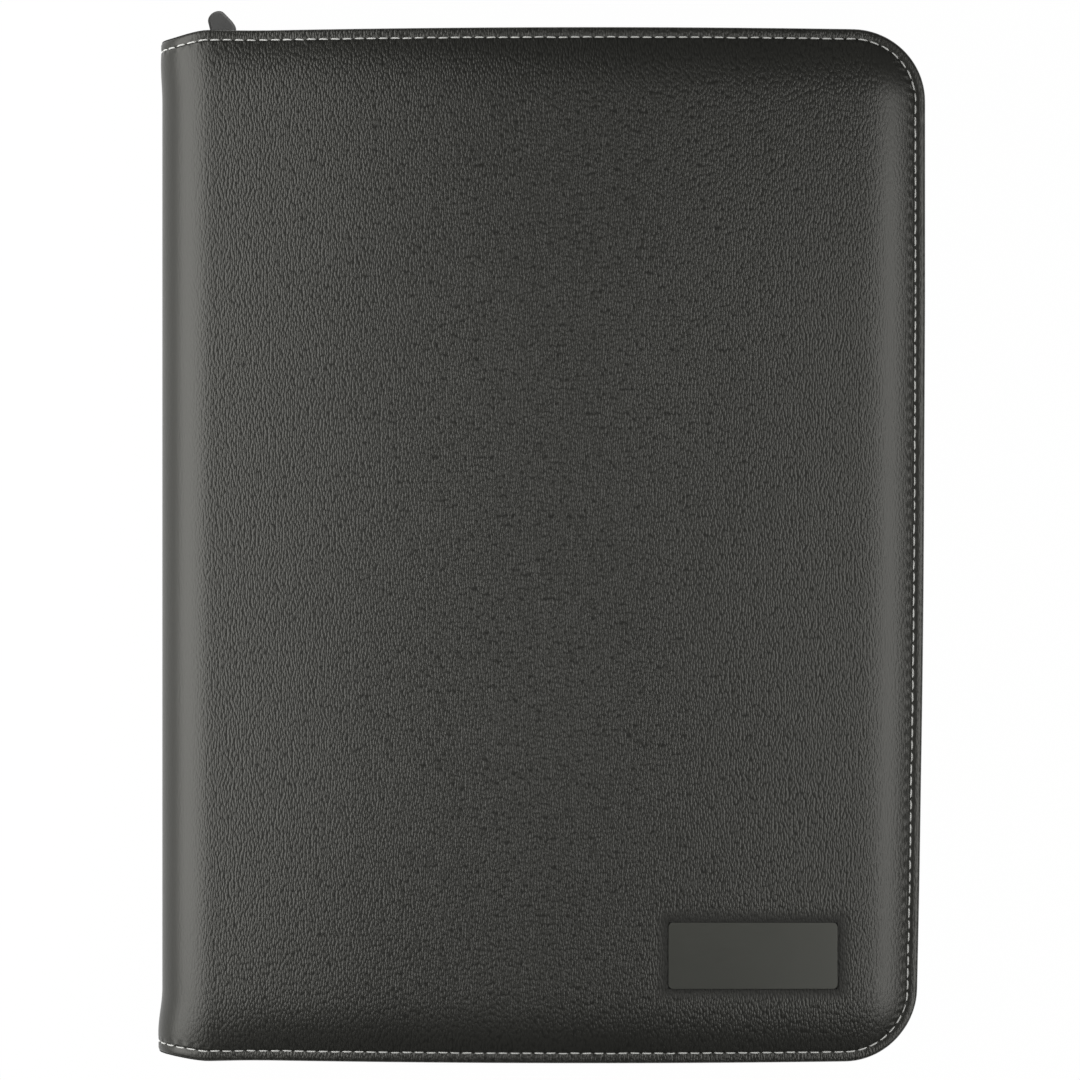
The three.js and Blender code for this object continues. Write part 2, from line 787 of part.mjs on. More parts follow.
for (const [cover, side] of [['back', -1], ['front', 1]]) {
  add(`${cover}_cover_skin`, side > 0 ? frontSkin() : coverSkin(side), 'leather');
  add(`${cover}_foam`, coverFoam(side), 'foam');
  add(`${cover}_board`, coverBoard(side), 'board');
  add(`${cover}_lining`, coverLining(side), 'lining');
  add(`${cover}_zip_tape`, zipTape(side), 'tape');
  const mouth = sliderX() - sliderLength / 2;
  const rearOfDiamond = mouth + diamondFromMouth + diamondLength + 2 * seat;
  const rearOfSlider = mouth + sliderLength + 2 * seat;
  const places = side > 0
    ? toothPlaces(rearOfSlider, toothPitch)
    : toothPlaces(rearOfDiamond, toothPitch / 2);
  const rowEnd = sliderX() + chainLength() - places[places.length - 1] - toothPitch / 2;
  add(`${cover}_zip_teeth`, teethRow(side, places), 'teeth');
  add(`${cover}_top_stop`, chainStop(side, mouth - seat - stopLength / 2, 1), 'metal');
  add(`${cover}_bottom_stop`, chainStop(side, rowEnd - seat - stopLength / 2, -1), 'metal');
}

add('spine_skin', spineStrip(0, skin, splitX - seat / 2, coverHeight), 'leather');
add('spine_board', spineStrip(boardDepth, boardDepth + spineBoard, spineBoardCut, liningLength), 'board');
add('spine_lining', spineStrip(spineLiningDepth, spineLiningDepth + lining,
  spineLiningReach - halfWidth, liningLength), 'lining');
add('pen_loop', penLoop(), 'leather');

add('slider_body', sliderBody(), 'metal');
add('slider_bail', sliderBail(), 'metal');
add('pull_link', pullLink(), 'metal');
add('pull_tab', pullTab(), 'metal');

add('name_plate', namePlate(), 'plate');
add('pad_backing_card', padPanel(backingCard).translate(padX, 0, cardZ), 'card');
add('pad_sleeve', padSleeve(), 'lining');
add('pad_sheets', padPanel(sheetStack).translate(padX, 0, sheetZ), 'paper');
add('pad_binding', padBinding(), 'binding');
add('document_pocket', documentPocket(), 'lining');
for (let number = 1; number <= cardPocketCount; number += 1) {
  add(`card_pocket_${number}`, cardPocketPanel(number), 'leather');
}

export default portfolio;
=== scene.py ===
# Zip-around business portfolio in black pebble-grained leather, closed, seen from straight above
import math

import bpy
import numpy as np
from mathutils import Matrix, Vector
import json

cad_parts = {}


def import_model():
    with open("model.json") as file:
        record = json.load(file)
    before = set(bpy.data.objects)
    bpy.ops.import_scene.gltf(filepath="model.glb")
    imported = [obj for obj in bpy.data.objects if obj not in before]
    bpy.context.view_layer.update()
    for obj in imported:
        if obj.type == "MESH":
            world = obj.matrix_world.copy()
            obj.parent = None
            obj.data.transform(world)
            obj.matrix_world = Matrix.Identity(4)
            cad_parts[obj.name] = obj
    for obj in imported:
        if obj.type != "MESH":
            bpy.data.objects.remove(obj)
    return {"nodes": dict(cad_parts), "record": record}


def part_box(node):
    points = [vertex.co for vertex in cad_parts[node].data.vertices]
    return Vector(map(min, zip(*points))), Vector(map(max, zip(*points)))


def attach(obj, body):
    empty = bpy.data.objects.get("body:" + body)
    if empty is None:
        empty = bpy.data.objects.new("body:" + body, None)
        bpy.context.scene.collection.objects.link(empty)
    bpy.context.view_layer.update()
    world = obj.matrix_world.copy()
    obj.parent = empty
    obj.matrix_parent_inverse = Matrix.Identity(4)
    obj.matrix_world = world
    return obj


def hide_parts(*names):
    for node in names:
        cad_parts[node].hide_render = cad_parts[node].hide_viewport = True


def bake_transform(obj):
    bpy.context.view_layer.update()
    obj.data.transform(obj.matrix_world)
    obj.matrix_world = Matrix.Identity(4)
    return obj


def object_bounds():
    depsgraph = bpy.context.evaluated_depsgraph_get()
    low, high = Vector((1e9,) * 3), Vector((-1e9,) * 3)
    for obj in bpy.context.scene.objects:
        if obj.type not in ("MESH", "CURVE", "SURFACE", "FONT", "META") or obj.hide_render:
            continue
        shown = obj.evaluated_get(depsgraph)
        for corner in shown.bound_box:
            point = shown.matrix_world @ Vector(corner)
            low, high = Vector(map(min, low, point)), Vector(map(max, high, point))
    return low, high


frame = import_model()
cadLow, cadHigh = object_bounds()
mm = 0.001
draw = np.random.default_rng(7)  # seeded, so that each run gives the same stitches and sheets

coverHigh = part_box("front_cover_skin")[1]
halfWidth = coverHigh.x
halfHeight = coverHigh.y
middle = coverHigh.z / 2  # also how far the flat of each cover lies from the middle plane

case = dict(
    cornerRadius=24 * mm,
    spineDepth=19 * mm,
    skin=1.2 * mm,  # thickness of the leather, and of the folded hem
    hem=2.4 * mm,
    hemRound=1.2 * mm,
    rim=0.15 * mm,
    seamInset=3.4 * mm,
    grooveHalf=0.7 * mm,
    grooveDepth=0.5 * mm,
    puffWidth=24 * mm,  # the padding falls to the hem over this width
    puffPower=2.8,
    edgeFall=4.2 * mm,
    spineFall=0.1,  # share of the fall that is left on the spine
    spineFade=34 * mm,
    splitAngle=40,  # degrees up from the spine's middle, about where the skins fold
    bowTop=(0.4 * mm, 1.5 * mm),  # how far an end stands out in the middle, and falls back
    bowBottom=(0.45 * mm, 1.3 * mm),
    bowMiddle=18 * mm,
    bowPower=4,
    pullTop=2.0 * mm,  # how far the ends of the spine are pulled in
    pullBottom=1.3 * mm,
    pullFrom=2 * mm,
    pullReach=14 * mm,
    flareTop=0.8 * mm,  # how far the ends of the spine spread sideways
    flareBottom=1.7 * mm,
    flareLength=17 * mm,
    flareFull=5 * mm,
    foreLean=2.2 * mm,  # how far the fore edge leans in towards the bottom
    leanFrom=10 * mm,
    foreFull=0.45 * mm,
    foreFuller=0.4 * mm,
    fullerReach=80 * mm,
    foldBefore=4.2 * mm,  # where the skins start and end to turn with the spine
    foldAfter=3.9 * mm,
)
shoulderX = case["spineDepth"] - halfWidth
splitX = shoulderX - case["spineDepth"] * math.cos(math.radians(case["splitAngle"]))
hemEnd = case["seamInset"] + case["grooveHalf"]


def coverOf(side):
    return "front_cover" if side > 0 else "back_cover"


def deselectAll():
    bpy.ops.object.select_all(action="DESELECT")


def active(name):
    piece = bpy.context.active_object
    piece.name = name
    piece.data.name = name
    return piece


def pick(piece):
    deselectAll()
    piece.select_set(True)
    bpy.context.view_layer.objects.active = piece
    return piece


def inEdit(piece, *steps):
    pick(piece)
    bpy.ops.object.mode_set(mode="EDIT")
    for step in steps:
        step()
    bpy.ops.object.mode_set(mode="OBJECT")


def selectEverything():
    bpy.ops.mesh.select_all(action="SELECT")


def selectFaces(piece, wanted):
    for vert in piece.data.vertices:
        vert.select = False
    for edge in piece.data.edges:
        edge.select = False
    for polygon in piece.data.polygons:
        polygon.select = bool(wanted(polygon))


def modify(piece, kind, **values):
    pick(piece)
    modifier = piece.modifiers.new(kind.title(), kind)
    for key, value in values.items():
        setattr(modifier, key, value)
    bpy.ops.object.modifier_apply(modifier=modifier.name)


def smoothShade(piece, angle=35):
    pick(piece)
    bpy.ops.object.shade_smooth_by_angle(angle=math.radians(angle))


def applyPlace(piece):
    pick(piece)
    bpy.ops.object.transform_apply(location=True, rotation=True, scale=True)


def joined(pieces, name):
    deselectAll()
    for piece in pieces:
        piece.select_set(True)
    bpy.context.view_layer.objects.active = pieces[0]
    bpy.ops.object.join()
    return active(name)


def placedCopy(model, right, ahead, up, spot):
    copy = model.copy()
    copy.data = model.data.copy()
    copy.matrix_world = Matrix((
        (right.x, ahead.x, up.x, spot.x),
        (right.y, ahead.y, up.y, spot.y),
        (right.z, ahead.z, up.z, spot.z),
        (0, 0, 0, 1)))
    bpy.context.collection.objects.link(copy)
    return copy


def gathered(model, copies, name):
    bpy.data.objects.remove(model)
    piece = joined(copies, name)
    applyPlace(piece)
    return piece


def paint(piece, material):
    piece.data.materials.clear()
    piece.data.materials.append(material)


def standIn(piece, material, body, slotName, *nodes):
    # a finished piece that rides in the place of its CAD nodes
    paint(piece, material)
    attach(piece, body)
    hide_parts(*nodes)


def getPoints(piece):
    points = np.empty(len(piece.data.vertices) * 3)
    piece.data.vertices.foreach_get("co", points)
    return points.reshape(-1, 3)


def setPoints(piece, points):
    piece.data.vertices.foreach_set("co", np.ascontiguousarray(points, float).ravel())
    piece.data.update()


def gridPiece(name, linesAcross, linesUp):
    # a flat grid, with the numbers of the two lines on which each of its points lies
    nx, ny = len(linesAcross) - 1, len(linesUp) - 1
    deselectAll()
    bpy.ops.mesh.primitive_grid_add(x_subdivisions=nx, y_subdivisions=ny, size=1)
    piece = active(name)
    flat = getPoints(piece)
    i = np.rint((flat[:, 0] + 0.5) * nx).astype(int)
    j = np.rint((flat[:, 1] + 0.5) * ny).astype(int)
    return piece, i, j


def walled(piece, thickness, inner):
    # gives a sheet its thickness, with the inner side set point by point
    modify(piece, "SOLIDIFY", thickness=thickness, offset=-1)
    points = getPoints(piece)
    points[len(inner):2 * len(inner)] = inner
    setPoints(piece, points)


def layUv(piece, name, across, up):
    # one pair of values for each point, given to the face corners that use it
    corners = np.array([corner.vertex_index for corner in piece.data.loops])
    pairs = np.stack([across[corners], up[corners]], -1)
    piece.data.uv_layers.new(name=name).data.foreach_set("uv", pairs.ravel())


def smooth(value):
    t = np.clip(value, 0, 1)
    return t * t * (3 - 2 * t)


def quarterRound(inset, reach):
    # a quarter round: 1 at the edge, 0 from the reach inwards
    t = 1 - np.clip(inset / reach, 0, 1)
    return 1 - np.sqrt(1 - t * t)


# Materials

def newMaterial(name, color, roughness, metallic=0.0):
    material = bpy.data.materials.new(name)
    material.use_nodes = True
    shader = material.node_tree.nodes["Principled BSDF"]
    shader.inputs["Base Color"].default_value = (*color, 1)
    shader.inputs["Roughness"].default_value = roughness
    shader.inputs["Metallic"].default_value = metallic
    return material, material.node_tree.nodes, material.node_tree.links, shader


class Wires:
    def __init__(self, nodes, links):
        self.nodes = nodes
        self.links = links

    def node(self, kind, inputs=None, **values):
        made = self.nodes.new(kind)
        for key, value in values.items():
            setattr(made, key, value)
        for key, value in (inputs or {}).items():
            self.feed(made.inputs[key], value)
        return made

    def feed(self, socket, value):
        if isinstance(value, bpy.types.NodeSocket):
            self.links.new(value, socket)
        else:
            socket.default_value = value

    def math(self, operation, a, b=0.0, clamp=False):
        made = self.node("ShaderNodeMath", {0: a, 1: b}, operation=operation, use_clamp=clamp)
        return made.outputs[0]

    def vector(self, operation, inputs):
        return self.node("ShaderNodeVectorMath", inputs, operation=operation).outputs[0]

    def parts(self, vector):
        return self.node("ShaderNodeSeparateXYZ", {0: vector}).outputs

    def spot(self):
        return self.node("ShaderNodeTexCoord").outputs["Object"]

    def span(self, value, low, high, toLow=0.0, toHigh=1.0):
        inputs = {"Value": value, "From Min": low, "From Max": high,
                  "To Min": toLow, "To Max": toHigh}
        made = self.node("ShaderNodeMapRange", inputs, interpolation_type="SMOOTHSTEP")
        return made.outputs["Result"]

    def blend(self, factor, a, b):
        made = self.node("ShaderNodeMix", data_type="RGBA")
        self.feed(made.inputs[0], factor)
        self.feed(made.inputs[6], a)
        self.feed(made.inputs[7], b)
        return made.outputs[2]

    def place(self, scale=(1, 1, 1)):
        inputs = {"Vector": self.spot(), "Scale": scale}
        return self.node("ShaderNodeMapping", inputs).outputs["Vector"]

    def noise(self, vector, scale, detail=3.0):
        inputs = {"Vector": vector, "Scale": scale, "Detail": detail}
        return self.node("ShaderNodeTexNoise", inputs).outputs["Fac"]

    def bump(self, shader, height, strength, distance, before=None):
        inputs = {"Height": height, "Strength": strength, "Distance": distance}
        made = self.node("ShaderNodeBump", inputs)
        if before is not None:
            self.feed(made.inputs["Normal"], before)
        self.feed(shader.inputs["Normal"], made.outputs["Normal"])
        return made.outputs["Normal"]


def shade(color, factor):
    return (*[channel * factor for channel in color], 1)


leatherLook = dict(
    color=(0.0245, 0.0246, 0.0218),
    paintedCreaseShade=0.55,  # these five are shares of the colour; the first is painted shade in the creases between the pebbles, the second a painted highlight on their crowns
    crown=1.35,
    patch=0.8,
    # colour of a narrow band along the outline, lighter than the rest
    lighterEdge=1.9,
    # pressed is painted shade on the leather round the name plate
    pressed=0.2,
    sheen=(1.0, 0.99, 0.935),
    roughness=0.355,
    pressedRoughness=0.35,
    grain=0.68 * mm,  # width of a pebble
    stretch=0.42,
    wander=0.035 * mm,
    depth=0.21 * mm,
    middleTone=0.62,
    fineTone=0.25,
    fineHeight=0.3,
    smoothFrom=-0.122,  # the grain comes in between these two places across
    grainFrom=-0.1,
    smoothShare=0.12,
    foreFrom=0.104,  # and it fades between these towards the fore edge
    foreTo=0.117,
    foreShare=0.25,
    lighterEdgeWidth=0.9 * mm,
    pitch=4.0 * mm,
    puckerReach=2.2 * mm,
    puckerHeight=0.22,
)


def leatherMaterial(name, look, seam):
    material, nodes, links, shader = newMaterial(name, look["color"], look["roughness"])
    shader.inputs["Specular Tint"].default_value = (*look["sheen"], 1)
    w = Wires(nodes, links)
    spot = w.place((1, look["stretch"], 1))
    drift = w.node("ShaderNodeTexNoise",
                   {"Vector": spot, "Scale": 0.35 / look["grain"], "Detail": 2.0})
    shifted = w.vector("SUBTRACT", {0: drift.outputs["Color"], 1: (0.5, 0.5, 0.5)})
    moved = w.vector("SCALE", {0: shifted, "Scale": 4 * look["wander"]})
    bent = w.vector("ADD", {0: spot, 1: moved})
    cells = w.node("ShaderNodeTexVoronoi", {"Vector": bent, "Scale": 1 / look["grain"]},
                   feature="F1", voronoi_dimensions="2D").outputs["Distance"]
    pebble = w.span(cells, 0.05, 1.0, 1.0, 0.0)
    fine = w.noise(spot, 2.2 / look["grain"], 1.5)
    broad = w.noise(spot, 28.0, 2.0)
    across = w.parts(w.spot())["X"]
    grain = w.span(across, look["smoothFrom"], look["grainFrom"], look["smoothShare"], 1.0)
    fore = w.span(across, look["foreFrom"], look["foreTo"], 1.0, look["foreShare"])
    amount = w.math("MULTIPLY", grain, fore)
    # painted shade and highlight: the pebbles' colour goes darker in the creases and lighter on the
    # crowns, following their height
    pebbleShading = w.math("MULTIPLY", pebble, 1 - look["fineTone"])
    tone = w.math("ADD", pebbleShading, w.math("MULTIPLY", fine, look["fineTone"]))
    aside = w.math("MULTIPLY", w.math("SUBTRACT", tone, look["middleTone"]), amount)
    tone = w.math("ADD", aside, look["middleTone"])
    color = w.blend(tone, shade(look["color"], look["paintedCreaseShade"]), shade(look["color"], look["crown"]))
    patches = w.span(broad, 0.3, 0.7, 0.0, 0.35)
    color = w.blend(patches, color, shade(look["color"], look["patch"]))
    fineHeight = w.math("MULTIPLY", fine, look["fineHeight"])
    height = w.math("MULTIPLY", w.math("ADD", pebble, fineHeight), amount)
    rough = w.math("ADD", w.math("MULTIPLY", fine, 0.1), look["roughness"] - 0.05)
    if seam:
        seamPlace = w.parts(w.node("ShaderNodeUVMap", uv_map="seam").outputs["UV"])
        along, inset = seamPlace["X"], seamPlace["Y"]
        # lighter and less rough in a narrow band along the outline
        edge = w.span(inset, 0.0, look["lighterEdgeWidth"], 1.0, 0.0)
        color = w.blend(w.math("MULTIPLY", edge, 0.5), color, shade(look["color"], look["lighterEdge"]))
        rough = w.math("SUBTRACT", rough, w.math("MULTIPLY", edge, 0.12))
        wave = w.math("COSINE", w.math("MULTIPLY", along, 2 * math.pi / look["pitch"]))
        fromHem = w.math("ABSOLUTE", w.math("SUBTRACT", inset, hemEnd))
        near = w.span(fromHem, 0.0, look["puckerReach"], 1.0, 0.0)
        pucker = w.math("MULTIPLY", w.math("MULTIPLY", wave, near), look["puckerHeight"])
        puckered = w.bump(shader, pucker, 1.0, 0.5 * mm)
        w.bump(shader, height, 0.8, look["depth"], puckered)
        # painted shade round the name plate: darker where the leather is pressed down round it, and
        # rougher there too
        pressedPaintedShade = w.node("ShaderNodeAttribute", attribute_name="pressedPaintedShade").outputs["Fac"]
        paintedShadeColor = shade(look["color"], look["pressed"])
        color = w.blend(w.math("MULTIPLY", pressedPaintedShade, 0.8), color, paintedShadeColor)
        rough = w.math("ADD", rough, w.math("MULTIPLY", pressedPaintedShade, look["pressedRoughness"]))
    else:
        w.bump(shader, height, 0.8, look["depth"])
    w.feed(shader.inputs["Base Color"], color)
    w.feed(shader.inputs["Roughness"], rough)
    return material


def wovenMaterial(name, color, pitch, roughness, uvMap=None, depth=0.06 * mm):
    material, nodes, links, shader = newMaterial(name, color, roughness)
    w = Wires(nodes, links)
    shader.inputs["Sheen Weight"].default_value = 0.25
    place = w.node("ShaderNodeUVMap", uv_map=uvMap).outputs["UV"] if uvMap else w.spot()
    parts = w.parts(place)
    turn = 2 * math.pi / pitch
    lengthwise = w.math("SINE", w.math("MULTIPLY", parts["X"], turn))
    crosswise = w.math("SINE", w.math("MULTIPLY", parts["Y"], turn))
    height = w.math("ADD", w.math("MULTIPLY", w.math("MULTIPLY", lengthwise, crosswise), 0.5), 0.5)
    dust = w.noise(place, 160.0, 4.0)
    mixed = w.math("ADD", w.math("MULTIPLY", height, 0.7), w.math("MULTIPLY", dust, 0.3))
    w.feed(shader.inputs["Base Color"], w.blend(mixed, shade(color, 0.6), shade(color, 1.5)))
    w.bump(shader, height, 0.7, depth)
    return material


def metalMaterial(name, color, roughness, brush, metallic):
    material, nodes, links, shader = newMaterial(name, color, roughness, metallic)
    w = Wires(nodes, links)
    streak = w.noise(w.place(brush), 900.0, 3.0)
    cloud = w.noise(w.place(), 180.0, 3.0)
    w.feed(shader.inputs["Roughness"], w.span(streak, 0.3, 0.7, roughness - 0.07, roughness + 0.1))
    w.feed(shader.inputs["Base Color"], w.blend(cloud, shade(color, 0.8), shade(color, 1.2)))
    w.bump(shader, streak, 0.25, 0.02 * mm)
    return material


def plasticMaterial(name, color, roughness):
    material, nodes, links, shader = newMaterial(name, color, roughness)
    w = Wires(nodes, links)
    speck = w.noise(w.place(), 2600.0, 3.0)
    w.feed(shader.inputs["Base Color"], w.blend(speck, shade(color, 0.8), shade(color, 1.25)))
    w.bump(shader, speck, 0.3, 0.02 * mm)
    return material


def plateMaterial():
    color = (0.053, 0.0545, 0.0478)
    material, nodes, links, shader = newMaterial("plate smooth", color, 0.42)
    shader.inputs["Specular Tint"].default_value = (1, 0.985, 0.92, 1)
    w = Wires(nodes, links)
    cloud = w.noise(w.place(), 60.0, 3.0)
    hair = w.noise(w.place((0.15, 1, 1)), 1400.0, 2.0)
    w.feed(shader.inputs["Base Color"], w.blend(cloud, shade(color, 0.93), shade(color, 1.07)))
    w.feed(shader.inputs["Roughness"], w.span(hair, 0.3, 0.7, 0.39, 0.46))
    w.bump(shader, hair, 0.12, 0.02 * mm)
    return material


def threadMaterial(name, color):
    material, nodes, links, shader = newMaterial(name, color, 0.6)
    w = Wires(nodes, links)
    shader.inputs["Sheen Weight"].default_value = 0.3
    spot = w.place()
    strands = w.node("ShaderNodeTexWave", {"Vector": spot, "Scale": 900.0, "Distortion": 2.0},
                     bands_direction="DIAGONAL").outputs["Fac"]
    w.feed(shader.inputs["Base Color"], w.blend(strands, shade(color, 0.7), shade(color, 1.1)))
    w.bump(shader, strands, 0.5, 0.05 * mm)
    return material


rules = dict(share=0.018, highest=0.116, color=(0.34, 0.42, 0.52, 1))


def paperMaterial(name, color, sheet, ruled=0):
    # sheet is the height of one layer at the edges, ruled the space between the lines on top
    material, nodes, links, shader = newMaterial(name, color, 0.85)
    w = Wires(nodes, links)
    fibre = w.noise(w.place(), 1200.0, 4.0)
    place = w.parts(w.spot())
    layers = w.math("SINE", w.math("MULTIPLY", place["Z"], 2 * math.pi / sheet))
    facing = w.parts(w.node("ShaderNodeNewGeometry").outputs["Normal"])["Z"]
    upright = w.math("SUBTRACT", 1.0, w.math("ABSOLUTE", facing), True)
    # painted shade between the layers: darker lines along the upright edges
    lines = w.math("MULTIPLY", w.span(layers, 0.2, 1.0), upright)
    tone = w.blend(fibre, shade(color, 0.93), shade(color, 1.03))
    tone = w.blend(w.math("MULTIPLY", lines, 0.55), tone, shade(color, 0.45))
    if ruled:
        down = w.math("FRACT", w.math("DIVIDE", place["Y"], ruled))
        apart = w.math("ABSOLUTE", w.math("SUBTRACT", down, 0.5))
        rule = w.math("MULTIPLY", w.math("LESS_THAN", apart, rules["share"]),
                      w.math("GREATER_THAN", facing, 0.9))
        rule = w.math("MULTIPLY", rule, w.math("LESS_THAN", place["Y"], rules["highest"]))
        tone = w.blend(w.math("MULTIPLY", rule, 0.6), tone, rules["color"])
    w.feed(shader.inputs["Base Color"], tone)
    w.bump(shader, fibre, 0.2, 0.03 * mm)
    return material


coverLeather = leatherMaterial("cover leather", leatherLook, True)
trimLeather = leatherMaterial("trim leather", dict(leatherLook, grain=0.9 * mm), False)
liningCloth = wovenMaterial("lining cloth", (0.021, 0.021, 0.023), 0.7 * mm, 0.8)
tapeCloth = wovenMaterial("zip tape cloth", (0.014, 0.014, 0.015), 0.8 * mm, 0.85, "run",
                          0.1 * mm)
sliderMetal = metalMaterial("slider plating", (0.07, 0.07, 0.068), 0.4, (1, 0.2, 1), 0.7)
tabMetal = metalMaterial("tab plating", (0.05, 0.05, 0.048), 0.45, (1, 0.4, 1), 0.15)
toothPlastic = plasticMaterial("tooth plastic", (0.017, 0.017, 0.018), 0.42)
plateSmooth = plateMaterial()
seamThread = threadMaterial("seam thread", (0.66, 0.66, 0.63))
darkThread = threadMaterial("dark thread", (0.04, 0.04, 0.042))
sheetPaper = paperMaterial("sheet paper", (0.82, 0.81, 0.77), 0.35 * mm, 8 * mm)
cardBoard = paperMaterial("card board", (0.36, 0.25, 0.14), 0.4 * mm)
darkBoard = paperMaterial("black board", (0.022, 0.022, 0.023), 0.5 * mm)
bindingPaper = wovenMaterial("binding tape", (0.03, 0.03, 0.032), 0.5 * mm, 0.6)
print("materials ready")


# Cover surface: each point is given by its place along the cover (x, or the turn round the spine)
# and by y

def edgeDrop(inset):
    t = np.clip((inset - hemEnd) / case["puffWidth"], 0, 1)
    return case["edgeFall"] * (1 - t) ** case["puffPower"]


def hemRounding(inset):
    return (case["hem"] / 2 - case["rim"]) * quarterRound(inset, case["hemRound"])


def groove(inset):
    t = np.clip(np.abs(inset - case["seamInset"]) / case["grooveHalf"], 0, 1)
    return case["grooveDepth"] * (0.5 + 0.5 * np.cos(math.pi * t))


def warp(x, y):
    # gives the plain outline the sewn case's bowed ends, pulled spine and leaning fore edge
    away = ((x - case["bowMiddle"]) / halfWidth) ** 2
    atSpine = smooth((shoulderX - case["pullFrom"] - x) / case["pullReach"])
    top, bottom = case["bowTop"], case["bowBottom"]
    fuller = case["foreFull"] + case["foreFuller"] * np.clip(y / case["fullerReach"], -1, 1)
    out = np.where(y > 0, top[0] - top[1] * away, bottom[0] - bottom[1] * away)
    pulled = np.where(y > 0, case["pullTop"], case["pullBottom"]) * atSpine
    shiftY = np.sign(y) * (np.abs(y) / halfHeight) ** case["bowPower"] * (out - pulled)
    flare = np.where(y > 0, case["flareTop"], case["flareBottom"])
    length = case["flareLength"]
    reach = smooth((np.abs(y) - halfHeight + case["flareFull"] + length) / length)
    down = np.clip(-(y - case["leanFrom"]) / halfHeight, 0, 1)
    lean = (case["foreLean"] * down ** 2 - fuller) * smooth(x / halfWidth)
    return x - flare * reach * atSpine - lean, y + shiftY


def surface(along, y, depth, side, inner=False):
    # along is counted from the shoulder: below 0 in radians round the spine, above it in metres
    turn = np.clip(-along, 0, math.pi / 2)
    angle = math.pi / 2 - turn
    baseX = np.where(along < 0, shoulderX - case["spineDepth"] * np.cos(angle), shoulderX + along)
    baseZ = np.where(along < 0, middle * np.sin(angle), middle)
    normalX = np.where(along < 0, -np.cos(angle) / case["spineDepth"], 0.0)
    normalZ = np.where(along < 0, np.sin(angle) / middle, 1 / middle)
    length = np.hypot(normalX, normalZ)
    normalX, normalZ = normalX / length, normalZ / length
    insetX = halfWidth - baseX
    insetY = halfHeight - np.abs(y)
    inset = np.minimum(insetX, insetY)
    radius = case["cornerRadius"]
    ring = np.maximum(radius - inset, 1e-6)
    onTop = insetY <= insetX
    t = np.where(onTop, baseX - (halfWidth - radius), np.abs(y) - (halfHeight - radius)) / ring
    corner = (t > 0) & (inset < radius)
    theta = np.where(onTop, math.pi / 2 - t * math.pi / 4, t * math.pi / 4)
    planX = np.where(corner, halfWidth - radius + ring * np.cos(theta), baseX)
    planY = np.where(corner, np.sign(y) * (halfHeight - radius + ring * np.sin(theta)), y)
    fade = smooth((baseX - splitX) / case["spineFade"])
    fade = case["spineFall"] + (1 - case["spineFall"]) * fade
    drop = edgeDrop(inset) * fade
    if inner:
        hem = case["skin"] + (case["hem"] - case["skin"]) * fade
        inHem = smooth((hemEnd + 1.2 * mm - inset) / (0.8 * mm))
        sunk = drop + depth + (hem - depth) * inHem - hemRounding(inset)
    else:
        sunk = drop + depth + hemRounding(inset) + groove(inset)
    planX, planY = warp(planX, planY)
    x = planX - normalX * sunk
    z = baseZ - normalZ * sunk
    return np.stack([x, planY, middle + side * z], -1), inset


def insetLines():
    # closer at the hem and the stitch groove
    fine = [0, 0.12, 0.35, 0.7, 1.2, 1.9, 2.7, 3.4, 3.75, 4.0, 4.3, 4.6, 4.85, 5.2, 5.8, 6.6, 7.6]
    soft = [8.8, 10.2, 11.8, 13.6, 15.6, 17.6, 19.4, 21.5, 24]
    return [value * mm for value in fine + soft]


def fill(low, high, step):
    count = max(1, round((high - low) / step))
    return [low + (high - low) * i / count for i in range(1, count)]


plate = dict(width=56 * mm, height=22 * mm, thickness=0.6 * mm, gap=0.03 * mm, corner=1.5 * mm,
             bevel=0.14 * mm, pressed=0.45 * mm, pressedReach=4.6 * mm, under=0.3 * mm,
             holdFrom=2 * mm, holdReach=12 * mm,
             steps=(-1.2 * mm, -0.5 * mm, -0.03 * mm, 0.03 * mm, 1.2 * mm))
plateLow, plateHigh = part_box("name_plate")
plateCentre = (plateLow + plateHigh) / 2


def plateLines(centre, size):
    half = size / 2 + plate["gap"]
    steps = [-plate["pressedReach"], *plate["steps"]]
    return [centre - half + step for step in steps] + [centre + half - step for step in steps]


def coverLines(side):
    insets = insetLines()
    turns = [90, 89.4, 86, 81, 76, 71, 66, 61, 56, 51, 46, 41, 36, 31, 26, 21, 16, 11, 6]
    along = [-math.radians(turn) for turn in turns]
    foreEnd = halfWidth - insets[-1] - shoulderX
    yEnd = halfHeight - insets[-1]
    if side > 0:
        xMarks = [x - shoulderX for x in plateLines(plateCentre.x, plate["width"])]
        yMarks = plateLines(plateCentre.y, plate["height"])
    else:
        xMarks, yMarks = [], []
    xMarks = [x for x in xMarks if x < foreEnd - 1 * mm]
    along += [0] + spaced(0, foreEnd, xMarks)
    along += [halfWidth - shoulderX - inset for inset in reversed(insets)]
    ys = [inset - halfHeight for inset in insets] + spaced(-yEnd, yEnd, yMarks)
    ys += [halfHeight - inset for inset in reversed(insets)]
    return np.array(along), np.array(ys)


def spaced(low, high, marks):
    inside = [mark for mark in marks if low + 0.5 * mm < mark < high - 0.5 * mm]
    stops = [low] + sorted(inside) + [high]
    lines = []
    for a, b in zip(stops, stops[1:]):
        lines += fill(a, b, 6 * mm) + [b]
    return lines[:-1]


